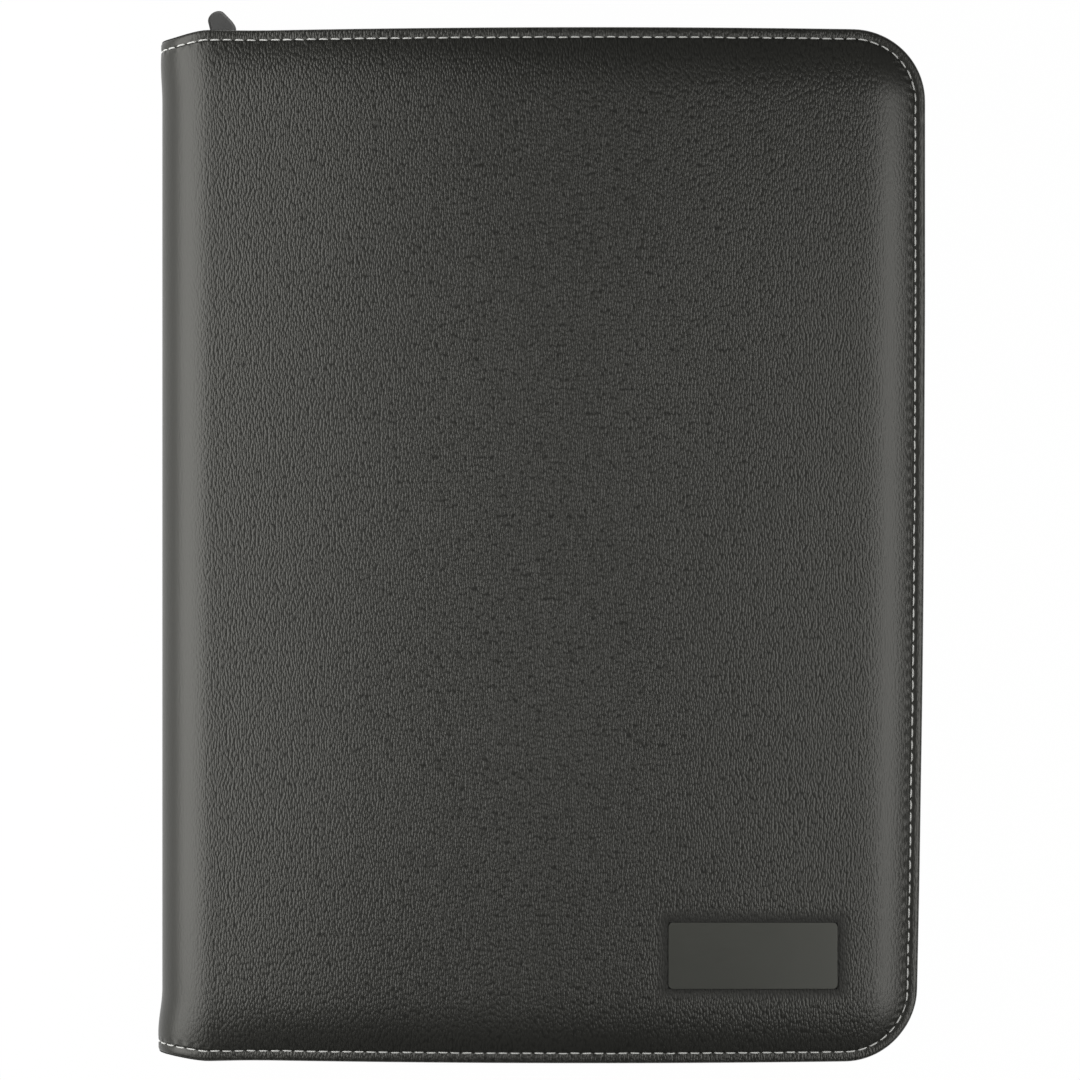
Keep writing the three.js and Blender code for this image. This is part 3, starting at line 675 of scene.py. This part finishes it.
def pressPlate(points, along, y):
    x = shoulderX + along
    dx = np.abs(x - plateCentre.x) - plate["width"] / 2 - plate["gap"]
    dy = np.abs(y - plateCentre.y) - plate["height"] / 2 - plate["gap"]
    outside = np.maximum(dx, dy)
    # round the plate the leather isn't drawn aside
    hold = smooth(1 - (outside - plate["holdFrom"]) / plate["holdReach"])
    points[:, 0] += hold * (x - points[:, 0])
    points[:, 1] += hold * (y - points[:, 1])
    sink = plate["pressed"] * smooth(1 - outside / plate["pressedReach"])
    sink = np.where(outside < 0, plate["thickness"] + plate["under"], sink)
    points[:, 2] -= sink
    # the second value weights the painted shade round the plate
    return points, smooth(1 - np.maximum(outside, 0) / plate["pressedReach"])


def seamDistance(along, y):
    x = np.where(along < 0, shoulderX + along * case["spineDepth"], shoulderX + along)
    start = x + math.pi / 2 * case["spineDepth"]
    insetX = halfWidth - x
    insetY = halfHeight - np.abs(y)
    return np.where(insetY <= insetX, start, halfWidth - y)


def coverLeatherPiece(name, side):
    alongLines, yLines = coverLines(side)
    piece, i, j = gridPiece(name, alongLines, yLines)
    along, y = alongLines[i], yLines[j]
    outer, inset = surface(along, y, 0.0, side)
    under, _ = surface(along, y, case["skin"], side, inner=True)
    pressedPaintedShade = np.zeros(len(outer))
    if side > 0:
        outer, pressedPaintedShade = pressPlate(outer, along, y)
    setPoints(piece, outer)
    layUv(piece, "seam", seamDistance(along, y), inset)
    if side < 0:
        inEdit(piece, selectEverything, bpy.ops.mesh.flip_normals)
    walled(piece, case["skin"], under)
    # this attribute carries the weight of the painted shade round the plate
    pressed = piece.data.attributes.new("pressedPaintedShade", "FLOAT", "POINT")
    unpressed = np.zeros(len(piece.data.vertices) - len(pressedPaintedShade))
    pressed.data.foreach_set("value", np.concatenate([pressedPaintedShade, unpressed]))
    smoothShade(piece, 50)
    paint(piece, coverLeather)
    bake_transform(piece)
    return piece


frontLeather = coverLeatherPiece("frontLeather", 1)
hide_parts("front_cover_skin", "front_foam", "spine_skin")
backLeather = coverLeatherPiece("backLeather", -1)
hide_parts("back_cover_skin", "back_foam")
print("covers", len(frontLeather.data.polygons), len(backLeather.data.polygons))


# Seam threads

stitch = dict(pitch=4.0 * mm, length=3.15 * mm, radius=0.28 * mm, lift=0.12 * mm, sides=6,
              wobble=0.07 * mm, tilt=0.03, thinner=0.35, dip=0.28 * mm)


def seamPath(inset, side):
    cornerX = halfWidth - inset - shoulderX
    turns = -np.radians(np.linspace(90, 1, 40))
    top = np.concatenate([turns, np.linspace(0, cornerX, 900)])
    y = np.full(len(top), halfHeight - inset)
    fore = np.linspace(halfHeight - inset, inset - halfHeight, 1100)[1:-1]
    along = np.concatenate([top, np.full(len(fore), cornerX), top[::-1]])
    ys = np.concatenate([y, fore, -y])
    return surface(along, ys, 0.0, side)[0]


def alongPath(path, pitch, start):
    steps = np.linalg.norm(np.diff(path, axis=0), axis=1)
    distance = np.concatenate([[0], np.cumsum(steps)])
    count = int((distance[-1] - 2 * start) / pitch)
    places = start + pitch * np.arange(count + 1)
    return places, lambda at: np.stack([np.interp(at, distance, path[:, k]) for k in range(3)], -1)


def oneStitch(size):
    deselectAll()
    bpy.ops.mesh.primitive_cylinder_add(vertices=size["sides"], radius=size["radius"],
                                        depth=size["length"], end_fill_type="TRIFAN",
                                        rotation=(0, math.pi / 2, 0))
    piece = active("stitch")
    applyPlace(piece)

    def cutAt(share):
        place = (share * size["length"], 0, 0)
        return lambda: bpy.ops.mesh.bisect(plane_co=place, plane_no=(1, 0, 0))

    inEdit(piece, selectEverything, cutAt(-0.3), selectEverything, cutAt(0.3))
    points = getPoints(piece)
    reach = np.abs(points[:, 0]) / (size["length"] / 2)
    points[:, 1:] *= (1 - stitch["thinner"] * smooth((reach - 0.55) / 0.45))[:, None]
    points[:, 2] -= stitch["dip"] * smooth((reach - 0.5) / 0.5)  # the ends go down into their holes
    setPoints(piece, points)
    smoothShade(piece, 60)
    return piece


def sewn(name, path, size, material, up, across=None):
    # across is the path's neighbour on the same surface, where the way up changes along it
    places, at = alongPath(path, size["pitch"], size["pitch"] / 2)
    model = oneStitch(size)
    copies = []
    up = Vector(up)
    ways = at(places + 0.4 * mm) - at(places - 0.4 * mm)
    for centre, way in zip(at(places), ways):
        forward = Vector(way).normalized()
        if across is not None:
            nearest = np.argmin(np.linalg.norm(path - centre, axis=1))
            turned = forward.cross(Vector(across[nearest] - path[nearest])).normalized()
            outward = Vector((min(0, centre[0] - shoulderX), 0, centre[2] - middle))
            up = turned if turned.dot(outward) > 0 else -turned
        sideways = up.cross(forward)
        tilted = (forward + sideways * draw.normal(0, stitch["tilt"])).normalized()
        spot = Vector(centre) + sideways * draw.normal(0, size["wobble"]) + up * size["lift"]
        copies.append(placedCopy(model, tilted, up.cross(tilted), up, spot))
    piece = gathered(model, copies, name)
    paint(piece, material)
    return piece


def coverSeam(name, side):
    path = seamPath(case["seamInset"], side)
    across = seamPath(case["seamInset"] + 0.3 * mm, side)
    piece = sewn(name, path, stitch, seamThread, (0, 0, side), across)
    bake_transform(piece)
    return piece


coverSeam("frontSeam", 1)
coverSeam("backSeam", -1)
print("seams sewn")


# Name plate, bare

def namePlatePiece():
    deselectAll()
    bpy.ops.mesh.primitive_plane_add(size=1, location=(plateCentre.x, plateCentre.y, plateHigh.z))
    piece = active("namePlate")
    piece.scale = (plate["width"], plate["height"], 1)
    applyPlace(piece)
    inEdit(piece, selectEverything,
           lambda: bpy.ops.mesh.bevel(offset=plate["corner"], segments=8, affect="VERTICES"))
    modify(piece, "SOLIDIFY", thickness=plate["thickness"], offset=-1)
    selectFaces(piece, lambda polygon: polygon.normal.z > 0.9)
    inEdit(piece, lambda: bpy.ops.mesh.select_mode(type="FACE"),
           lambda: bpy.ops.mesh.bevel(offset=plate["bevel"], segments=4, profile=0.6))
    smoothShade(piece, 30)
    standIn(piece, plateSmooth, "front_cover", "plate", "name_plate")


namePlatePiece()
print("plate set")


# Rigid pieces keep the shape of their frame node, with its triangles joined and its edges eased

def eased(node, name, body, material, bevel, slotName, segments=2):
    source = frame["nodes"][node]
    piece = source.copy()
    piece.data = source.data.copy()
    bpy.context.collection.objects.link(piece)
    piece.parent = None
    piece.matrix_world = Matrix.Identity(4)
    for key in list(piece.keys()):
        del piece[key]
    pick(piece)
    piece = active(name)
    inEdit(piece, selectEverything,
           lambda: bpy.ops.mesh.remove_doubles(threshold=1e-6),
           lambda: bpy.ops.mesh.dissolve_limited(angle_limit=math.radians(3)))
    if bevel:
        modify(piece, "BEVEL", width=bevel, segments=segments, limit_method="ANGLE",
               angle_limit=math.radians(40))
    smoothShade(piece, 40)
    standIn(piece, material, body, slotName, node)
    return piece


eased("slider_body", "sliderBody", "zip_slider", sliderMetal, 0.2 * mm, "metal")
eased("slider_bail", "sliderBail", "zip_slider", sliderMetal, 0.3 * mm, "metal", 3)
eased("pull_link", "pullLink", "pull_link", sliderMetal, 0, "metal")

tab = dict(pivot=(-104.943 * mm, 169.782 * mm, 14.7 * mm), lean=36, droop=20, turn=6.5, wider=1.12,
           rim=0.75 * mm, sunk=0.14 * mm, bevel=0.12 * mm)


def pullTabPiece():
    piece = eased("pull_tab", "pullTab", "pull_tab", tabMetal, 0, "metal")
    lean, droop = math.radians(tab["lean"]), math.radians(tab["droop"])
    across = Vector((math.cos(lean), math.sin(lean), 0))
    ahead = Vector((-math.sin(lean) * math.cos(droop), math.cos(lean) * math.cos(droop),
                    -math.sin(droop)))
    up = across.cross(ahead)
    pivot = np.array(tab["pivot"])
    away = getPoints(piece) - pivot
    swing = math.radians(tab["turn"])
    long, wide = away @ ahead, away @ across * tab["wider"]
    turned = long * math.cos(swing) - wide * math.sin(swing)
    wide = long * math.sin(swing) + wide * math.cos(swing)
    laid = np.outer(turned, ahead) + np.outer(wide, across)
    setPoints(piece, pivot + laid + np.outer(away @ up, up))
    selectFaces(piece, lambda polygon: abs(polygon.normal.dot(up)) > 0.98)
    inEdit(piece, lambda: bpy.ops.mesh.select_mode(type="FACE"),
           lambda: bpy.ops.mesh.inset(thickness=tab["rim"]),
           lambda: bpy.ops.transform.shrink_fatten(value=-tab["sunk"]))
    modify(piece, "BEVEL", width=tab["bevel"], segments=2, limit_method="ANGLE",
           angle_limit=math.radians(35))
    smoothShade(piece, 40)


pullTabPiece()
for stop in ("back_top_stop", "front_top_stop", "back_bottom_stop", "front_bottom_stop"):
    body = stop.split("_")[0] + "_cover"
    eased(stop, stop.title().replace("_", ""), body, sliderMetal, 0.25 * mm, "metal")
print("slider, puller and stops finished")


# Pieces that follow the edge of a cover: zip tapes and teeth

# the tape's profile gives distances in from the outline and from the middle plane, in millimetres
chain = dict(inset=8 * mm, pitch=4 * mm, start=12 * mm, slider=30 * mm, tape=0.6 * mm,
             topSteps=24, bendSteps=12, foreSteps=18,
             profile=((2.8, 7.65), (3.1, 7.4), (5.5, 7.4), (7.5, 7.38), (7.85, 7.2), (8.0, 6.85),
                      (8.0, 6.0), (8.0, 5.3), (8.0, 4.75)))


def roundEdge(distance, startX, inset=0.0):
    # place, outward direction and whole length of a line that runs an inset inside the outline
    radius = case["cornerRadius"] - inset
    centreX = halfWidth - case["cornerRadius"]
    centreY = halfHeight - case["cornerRadius"]
    bend = radius * math.pi / 2
    top = centreX - startX
    whole = 2 * (top + bend + centreY)
    lower = distance > whole / 2
    d = np.where(lower, whole - distance, distance)
    angle = math.pi / 2 - np.clip((d - top) / radius, 0, math.pi / 2)
    x = np.where(d < top, startX + d, centreX + radius * np.cos(angle))
    past = np.clip(d - top - bend, 0, None)
    y = np.where(d < top, centreY + radius, centreY + radius * np.sin(angle) - past)
    flip = np.where(lower, -1.0, 1.0)
    return np.stack([x, y * flip], -1), np.stack([np.cos(angle), np.sin(angle) * flip], -1), whole


def zipTape(name, side, node):
    startX = chain["start"] - halfWidth
    _, _, whole = roundEdge(np.zeros(1), startX, chain["inset"])
    radius = case["cornerRadius"] - chain["inset"]
    top = halfWidth - case["cornerRadius"] - startX
    bend = radius * math.pi / 2
    way = [top * k / chain["topSteps"] for k in range(chain["topSteps"])]
    way += [top + bend * k / chain["bendSteps"] for k in range(chain["bendSteps"])]
    half = (whole / 2 - top - bend)
    way += [top + bend + half * k / chain["foreSteps"] for k in range(chain["foreSteps"] + 1)]
    way = np.array(way + [whole - d for d in reversed(way[:-1])])
    profile = np.array(chain["profile"]) * mm
    piece, i, j = gridPiece(name, way, profile)
    spot, out, _ = roundEdge(way, startX, chain["inset"])
    inset, height = profile[j, 0], profile[j, 1]
    place = spot[i] + out[i] * (chain["inset"] - inset)[:, None]
    setPoints(piece, np.column_stack([place, middle + side * height]))
    across = np.concatenate([[0], np.cumsum(np.linalg.norm(np.diff(profile, axis=0), axis=1))])
    layUv(piece, "run", way[i], across[j])
    modify(piece, "SOLIDIFY", thickness=chain["tape"], offset=0)
    inEdit(piece, selectEverything, bpy.ops.mesh.normals_make_consistent)
    smoothShade(piece, 40)
    standIn(piece, tapeCloth, coverOf(side), "tape", node)


zipTape("frontTape", 1, "front_zip_tape")
zipTape("backTape", -1, "back_zip_tape")

tooth = dict(thickness=2.4 * mm, head=1.3 * mm, reach=1.2 * mm, root=3.2 * mm, gap=0.3 * mm,
             foot=0.6 * mm, bevel=0.22 * mm)


def oneTooth():
    # lies with its head towards -z, length along x, thickness along y
    deselectAll()
    long = tooth["root"] + tooth["reach"]
    wide = chain["pitch"] - 2 * tooth["gap"] - tooth["head"]
    bpy.ops.mesh.primitive_cube_add(size=1, location=(0, 0, tooth["root"] - long / 2))
    piece = active("tooth")
    piece.scale = (wide, tooth["thickness"], long)
    applyPlace(piece)
    points = getPoints(piece)
    points[points[:, 2] < 0, 0] *= tooth["head"] / wide
    points[points[:, 2] > 0, 2] += tooth["foot"]
    setPoints(piece, points)
    modify(piece, "BEVEL", width=tooth["bevel"], segments=1, limit_method="ANGLE",
           angle_limit=math.radians(40))
    return piece


def toothRow(name, side, node, first):
    startX = chain["slider"] - halfWidth
    _, _, whole = roundEdge(np.zeros(1), startX, chain["inset"])
    places = np.arange(first, whole - chain["pitch"], chain["pitch"])
    spots, outs, _ = roundEdge(places, startX, chain["inset"])
    model = oneTooth()
    up = Vector((0, 0, side))
    copies = []
    for spot, out in zip(spots, outs):
        out = Vector((*out, 0))
        copies.append(placedCopy(model, out.cross(up), out, up, Vector((*spot, middle))))
    row = gathered(model, copies, name)
    smoothShade(row, 30)
    standIn(row, toothPlastic, coverOf(side), "teeth", node)


toothRow("frontTeeth", 1, "front_zip_teeth", 3 * chain["pitch"])
toothRow("backTeeth", -1, "back_zip_teeth", chain["pitch"] / 2)
print("tapes and teeth made")


# Linings: flat over the board, then round the spine to its middle

lining = dict(height=7.0 * mm, thickness=0.8 * mm, depth=3.8 * mm, inset=8.7 * mm, edge=0.5 * mm,
              flatEnd=11.1 * mm, foldFrom=9 * mm, foldTo=15 * mm,
              turns=(37, 32, 27, 22, 17, 12, 8, 4, 0))


def edgeSteps(low, high, step):
    # even steps, closer at both ends
    near = [value * mm for value in (0, 0.15, 0.4, 0.9, 1.8)]
    between = fill(low + near[-1], high - near[-1], step)
    return [low + value for value in near] + between + [high - value for value in reversed(near)]


def roundCorners(x, y, low, high, radius, corners):
    # bends the square corners of a grid's outer rings into arcs; corners holds pairs of signs
    x, y = x.copy(), y.copy()
    for sx, sy in corners:
        edgeX = high[0] if sx > 0 else low[0]
        edgeY = high[1] if sy > 0 else low[1]
        insetX, insetY = sx * (edgeX - x), sy * (edgeY - y)
        inset = np.minimum(insetX, insetY)
        ring = np.maximum(radius - inset, 1e-9)
        onY = insetY <= insetX
        t = np.where(onY, radius - insetX, radius - insetY) / ring
        inside = (t > 0) & (inset < radius)
        theta = np.where(onY, math.pi / 2 - t * math.pi / 4, t * math.pi / 4)
        x = np.where(inside, edgeX - sx * radius + sx * ring * np.cos(theta), x)
        y = np.where(inside, edgeY - sy * radius + sy * ring * np.sin(theta), y)
    return x, y


def liningPiece(name, side, nodes):
    fore = halfWidth - lining["inset"]
    flatEnd = shoulderX - lining["flatEnd"]
    wide = case["spineDepth"] - lining["depth"]
    tall = middle - lining["depth"]
    turns = [math.radians(turn) for turn in lining["turns"]]
    flatX = edgeSteps(flatEnd, fore, 6 * mm)[1:]
    bendX = [shoulderX - wide * math.cos(turn) for turn in turns]
    bendW = [tall * math.sin(turn) for turn in turns]
    profileX = np.array(bendX[::-1] + [flatEnd - 0.5 * mm] + flatX)
    level = [lining["height"] - 0.12 * mm] + [lining["height"]] * len(flatX)
    profileW = np.array(bendW[::-1] + level)
    slope = np.stack([np.gradient(profileX), np.gradient(profileW)], -1)
    slope /= np.linalg.norm(slope, axis=1)[:, None]
    endY = halfHeight - lining["inset"]
    yLines = np.array(edgeSteps(-endY, endY, 7 * mm))
    piece, i, j = gridPiece(name, profileX, yLines)
    radius = case["cornerRadius"] - lining["inset"]
    corners = ((1, 1), (1, -1))
    x, y = roundCorners(profileX[i], yLines[j], (-1, -endY), (fore, endY), radius, corners)
    inset = np.minimum(fore - profileX[i], endY - np.abs(yLines[j]))
    soft = lining["thickness"] * 0.4 * quarterRound(inset, lining["edge"])
    outX, outW = -slope[i, 1], slope[i, 0]

    def layer(deep):
        return np.column_stack([x + outX * deep, y, middle + side * (profileW[i] + outW * deep)])

    setPoints(piece, layer(soft))
    if side > 0:
        inEdit(piece, selectEverything, bpy.ops.mesh.flip_normals)
    walled(piece, lining["thickness"], layer(lining["thickness"] - soft))
    smoothShade(piece, 50)
    paint(piece, liningCloth)
    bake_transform(piece)
    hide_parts(*nodes)


liningPiece("frontLining", 1, ("front_lining", "spine_lining"))
liningPiece("backLining", -1, ("back_lining",))
print("linings laid")


# Pockets and the pad's sleeve: thin panels with a folded hem along the mouth

pocket = dict(corner=5 * mm, edge=0.3 * mm, step=7 * mm, seam=1.6 * mm,
              hem=9 * mm, cardHem=4 * mm, hemStep=0.22 * mm, hemRise=0.3 * mm, mouthSeam=1.5 * mm,
              hemLines=(-0.3 * mm, -0.05 * mm, 0.15 * mm, 0.5 * mm),
              cut=18 * mm, cardCut=9 * mm, cutReach=40 * mm, cutMargin=1.03)
smallStitch = dict(pitch=2.6 * mm, length=2.0 * mm, radius=0.14 * mm, lift=0.06 * mm, sides=6,
                   wobble=0.03 * mm)


def pocketPanel(name, node, material, cut, hem, slotName):
    # hangs under the front cover's lining, open at the top; cut is the radius of its thumb cut
    low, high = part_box(node)
    centre = (low.x + high.x) / 2
    thickness = high.z - low.z

    def cutPull(x, y):
        # draws the mouth down into the thumb cut
        across = np.clip(np.abs(x - centre) / cut, 0, 1)
        reach = smooth((y - (high.y - pocket["cutReach"])) / pocket["cutReach"])
        return y - cut * np.sqrt(1 - across * across) * reach

    def seamLine(points, lift=0.0):
        px, py = np.array(points).T
        return np.column_stack([px, cutPull(px, py), np.full(len(px), low.z - lift)])

    arc = [centre + cut * math.sin(math.radians(turn)) for turn in range(-90, 91, 10)]
    arc += [centre - cut * pocket["cutMargin"], centre + cut * pocket["cutMargin"]]
    xs = [x for x in edgeSteps(low.x, high.x, pocket["step"]) if abs(x - centre) > cut + 1 * mm]
    ys = [y for y in edgeSteps(low.y, high.y, pocket["step"]) if abs(high.y - y - hem) > 1 * mm]
    xLines = np.array(sorted(xs + arc))
    yLines = np.array(sorted(ys + [high.y - (hem + mark) for mark in pocket["hemLines"]]))
    piece, i, j = gridPiece(name, xLines, yLines)
    flatX, flatY = xLines[i], yLines[j]
    inset = np.minimum(np.minimum(flatX - low.x, high.x - flatX),
                       np.minimum(flatY - low.y, high.y - flatY))
    soft = thickness * 0.42 * quarterRound(inset, pocket["edge"])
    corners = ((1, -1), (-1, -1))
    x, y = roundCorners(flatX, flatY, (low.x, low.y), (high.x, high.y), pocket["corner"], corners)
    y = cutPull(flatX, y)
    raised = pocket["hemStep"] * smooth((hem - (high.y - flatY)) / pocket["hemRise"])
    setPoints(piece, np.column_stack([x, y, low.z - (raised - soft)]))
    inEdit(piece, selectEverything, bpy.ops.mesh.flip_normals)
    walled(piece, thickness, np.column_stack([x, y, low.z + (thickness - soft)]))
    smoothShade(piece, 50)
    standIn(piece, material, "front_cover", slotName, node)

    margin, r = pocket["seam"], pocket["corner"] - pocket["seam"]
    side = [(low.x + margin, high.y - 2 * mm), (low.x + margin, low.y + pocket["corner"])]
    side += [(low.x + margin + r - r * math.cos(a), low.y + margin + r - r * math.sin(a))
             for a in np.linspace(0, math.pi / 2, 8)]
    other = [(2 * centre - px, py) for px, py in reversed(side)]
    mouthY = high.y - hem + pocket["mouthSeam"]
    mouth = [(px, mouthY) for px in np.linspace(low.x + 3 * mm, high.x - 3 * mm, 200)]
    lines = {"Seam": seamLine(side + other), "Mouth": seamLine(mouth, pocket["hemStep"])}
    for part, line in lines.items():
        seam = sewn(name + part, line, smallStitch, darkThread, (0, 0, -1))
        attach(seam, "front_cover")


pocketPanel("documentPocket", "document_pocket", liningCloth, pocket["cut"], pocket["hem"],
            "lining")
for number, below in ((1, "documentPocket"), (2, "cardPocket1"), (3, "cardPocket2")):
    pocketPanel(f"cardPocket{number}", f"card_pocket_{number}", trimLeather, pocket["cardCut"],
                pocket["cardHem"], "leather")
print("pockets sewn")


# Pad: card back, sheets, binding and the sleeve that carries it

# rise and crown give distances in from the sleeve's side, and up from its foot or down from its top
sleeve = dict(thickness=0.6 * mm, bevel=0.15 * mm, step=8 * mm, seam=1.2 * mm, seamEnd=1.5 * mm,
              rise=((0, 0), (0.3, 0), (1.5, 0), (2.4, 0), (2.8, 0.15), (3.0, 0.5)),
              crown=((3.15, 0.15), (3.6, 0), (5.0, 0)), climb=0.6)


def sleevePiece():
    low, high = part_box("pad_sleeve")
    top, foot = high.z, low.z + sleeve["thickness"]
    left = [(low.x + x * mm, foot + up * mm) for x, up in sleeve["rise"]]
    left += [(low.x + x * mm, top - down * mm) for x, down in sleeve["crown"]]
    xs = [x for x, _ in left] + fill(left[-1][0], low.x + high.x - left[-1][0], sleeve["step"])
    zs = [z for _, z in left] + [top] * (len(xs) - len(left))
    xs += [low.x + high.x - x for x, _ in reversed(left)]
    zs += [z for _, z in reversed(left)]
    xLines, zLines = np.array(xs), np.array(zs)
    yLines = np.array(edgeSteps(low.y, high.y, sleeve["step"]))
    piece, i, j = gridPiece("padSleeve", xLines, yLines)
    setPoints(piece, np.column_stack([xLines[i], yLines[j], zLines[i]]))
    modify(piece, "SOLIDIFY", thickness=sleeve["thickness"], offset=-1, use_even_offset=True)
    modify(piece, "BEVEL", width=sleeve["bevel"], segments=2, limit_method="ANGLE",
           angle_limit=math.radians(60))
    smoothShade(piece, 50)
    standIn(piece, liningCloth, "back_cover", "lining", "pad_sleeve")
    width = high.x - low.x
    for sign, end in ((-1, "L"), (1, "R")):
        x = (low.x + high.x) / 2 + sign * (width / 2 - sleeve["seam"])
        ends = (low.y + sleeve["seamEnd"], high.y - sleeve["seamEnd"])
        line = np.array([(x, y, foot) for y in ends])
        seam = sewn("sleeveSeam" + end, line, smallStitch, darkThread, (0, 0, 1))
        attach(seam, "back_cover")


sleevePiece()
eased("pad_binding", "padBinding", "back_cover", bindingPaper, 0.12 * mm, "binding")
eased("pad_backing_card", "padCard", "back_cover", cardBoard, 0.1 * mm, "card")


pad = dict(layers=12, slip=0.12, narrower=0.5 * mm, shorter=0.3 * mm, gap=0.015 * mm, corner=2 * mm)


def isUpright(piece, edge):
    a, b = (piece.data.vertices[index].co for index in edge.vertices)
    return abs(a.z - b.z) > 1e-6


def sheetStack():
    low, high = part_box("pad_sheets")
    pieces = []
    each = (high.z - low.z) / pad["layers"]
    for layer in range(pad["layers"]):
        deselectAll()
        slip = draw.normal(0, pad["slip"], 2) * mm if layer < pad["layers"] - 1 else (0, 0)
        place = ((low.x + high.x) / 2 + slip[0], (low.y + high.y) / 2 - abs(slip[1]),
                 low.z + each * (layer + 0.5))
        bpy.ops.mesh.primitive_cube_add(size=1, location=place)
        leaf = active("leaf")
        leaf.scale = (high.x - low.x - pad["narrower"], high.y - low.y - pad["shorter"],
                      each - pad["gap"])
        applyPlace(leaf)
        upright = [edge.index for edge in leaf.data.edges if isUpright(leaf, edge)]
        selectFaces(leaf, lambda polygon: False)
        for index in upright:
            leaf.data.edges[index].select = True
        inEdit(leaf, lambda: bpy.ops.mesh.select_mode(type="EDGE"),
               lambda: bpy.ops.mesh.bevel(offset=pad["corner"], segments=4))
        pieces.append(leaf)
    stack = joined(pieces, "padSheets")
    applyPlace(stack)
    standIn(stack, sheetPaper, "back_cover", "paper", "pad_sheets")


sheetStack()
print("pad laid in")


# Pen loop on the spine

loop = dict(wall=0.9 * mm, sides=40, rings=7, flat=0.14 * mm, bevel=0.25 * mm)


def penLoopPiece():
    low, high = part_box("pen_loop")
    centre = (low + high) / 2
    outer = (high.z - low.z) / 2
    deselectAll()
    bpy.ops.mesh.primitive_cylinder_add(vertices=loop["sides"], radius=outer, depth=high.y - low.y,
                                        end_fill_type="NOTHING", location=centre,
                                        rotation=(math.pi / 2, 0, 0))
    piece = active("penLoop")
    applyPlace(piece)
    inEdit(piece, selectEverything,
           lambda: bpy.ops.mesh.subdivide(number_cuts=loop["rings"]))
    points = getPoints(piece)
    angle = np.arctan2(points[:, 2] - centre.z, points[:, 0] - centre.x)
    along = (points[:, 1] - centre.y) / ((high.y - low.y) / 2)
    pinch = loop["flat"] * (1 - along ** 4) * (0.5 + 0.5 * np.cos(angle))
    points[:, 0] = centre.x + (outer - pinch) * np.cos(angle)
    points[:, 2] = centre.z + (outer - pinch) * np.sin(angle)
    setPoints(piece, points)
    modify(piece, "SOLIDIFY", thickness=loop["wall"], offset=-1)
    modify(piece, "BEVEL", width=loop["bevel"], segments=3, limit_method="ANGLE",
           angle_limit=math.radians(60))
    smoothShade(piece, 45)
    standIn(piece, trimLeather, "spine", "leather", "pen_loop")


penLoopPiece()
print("pen loop set")


# The frame's own nodes: the boards show at the spine's ends, and the rest is stood for by pieces

looks = {
    "leather": trimLeather,
    "foam": darkBoard,
    "board": darkBoard,
    "lining": liningCloth,
    "tape": liningCloth,
    "teeth": toothPlastic,
    "metal": sliderMetal,
    "plate": plateSmooth,
    "paper": sheetPaper,
    "card": cardBoard,
    "binding": bindingPaper,
}
slots = {part["node"]: part["material_slot"] for part in frame["record"]["subparts"]}
for nodeName, node in frame["nodes"].items():
    node.data.materials.clear()
    node.data.materials.append(looks[slots[nodeName]])


# Floor, light and camera

studio = dict(
    camera=(-0.2 * mm, 1.7 * mm, 924.5 * mm), view=22.64, world=0.03,
    floorSize=8, floorGap=0.2 * mm, floorColor=(0.9, 0.9, 0.9), floorGlow=0.99,
)
softboxes = {
    "left softbox": dict(place=(-0.222, 0.05, 0.165), size=(0.54, 0.2), power=1.05),
    "left low softbox": dict(place=(-0.345, 0.03, 0.15), size=(0.58, 0.26), power=0.36),
    "right softbox": dict(place=(0.26, -0.04, 0.26), size=(0.52, 0.16), power=0.9),
}


def floor():
    deselectAll()
    bpy.ops.mesh.primitive_grid_add(x_subdivisions=4, y_subdivisions=4, size=studio["floorSize"],
                                    location=(0, 0, cadLow.z - studio["floorGap"]))
    piece = active("floor")
    material, nodes, links, shader = newMaterial("floor white", studio["floorColor"], 0.9)
    w = Wires(nodes, links)
    rays = w.node("ShaderNodeLightPath").outputs
    mirrored = w.math("ADD", rays["Is Glossy Ray"], rays["Is Transmission Ray"])
    seen = w.math("ADD", rays["Is Camera Ray"], mirrored, True)
    share = w.math("MULTIPLY", seen, studio["floorGlow"])
    glow = w.node("ShaderNodeEmission", {"Color": (1, 1, 1, 1), "Strength": 1.0}).outputs[0]
    mix = w.node("ShaderNodeMixShader", {0: share, 1: shader.outputs[0], 2: glow})
    links.new(mix.outputs[0], nodes["Material Output"].inputs["Surface"])
    paint(piece, material)


def softbox(name, place, size, power):
    data = bpy.data.lights.new(name, "AREA")
    data.shape = "RECTANGLE"
    data.size, data.size_y = size
    data.energy = power
    lamp = bpy.data.objects.new(name, data)
    lamp.location = place
    down = Vector((-place[0], 0, -place[2]))  # leans sideways only, so its long side stays along y
    lamp.rotation_euler = down.to_track_quat("-Z", "Y").to_euler()
    bpy.context.collection.objects.link(lamp)


def world():
    made = bpy.data.worlds.new("studio")
    bpy.context.scene.world = made
    made.use_nodes = True
    nodes, links = made.node_tree.nodes, made.node_tree.links
    w = Wires(nodes, links)
    rays = w.node("ShaderNodeLightPath").outputs
    seen = w.math("ADD", rays["Is Camera Ray"], rays["Is Transmission Ray"], True)
    strength = w.math("ADD", w.math("MULTIPLY", seen, 1 - studio["world"]), studio["world"])
    back = nodes["Background"]
    back.inputs["Color"].default_value = (1, 1, 1, 1)
    links.new(strength, back.inputs["Strength"])


def camera():
    data = bpy.data.cameras.new("camera")
    data.sensor_width = 36
    data.angle = math.radians(studio["view"])
    eye = bpy.data.objects.new("camera", data)
    eye.location = studio["camera"]
    bpy.context.collection.objects.link(eye)
    bpy.context.scene.camera = eye


floor()
for name, values in softboxes.items():
    softbox(name, **values)
world()
camera()
bpy.context.scene.view_settings.view_transform = "Standard"
print("studio lit")
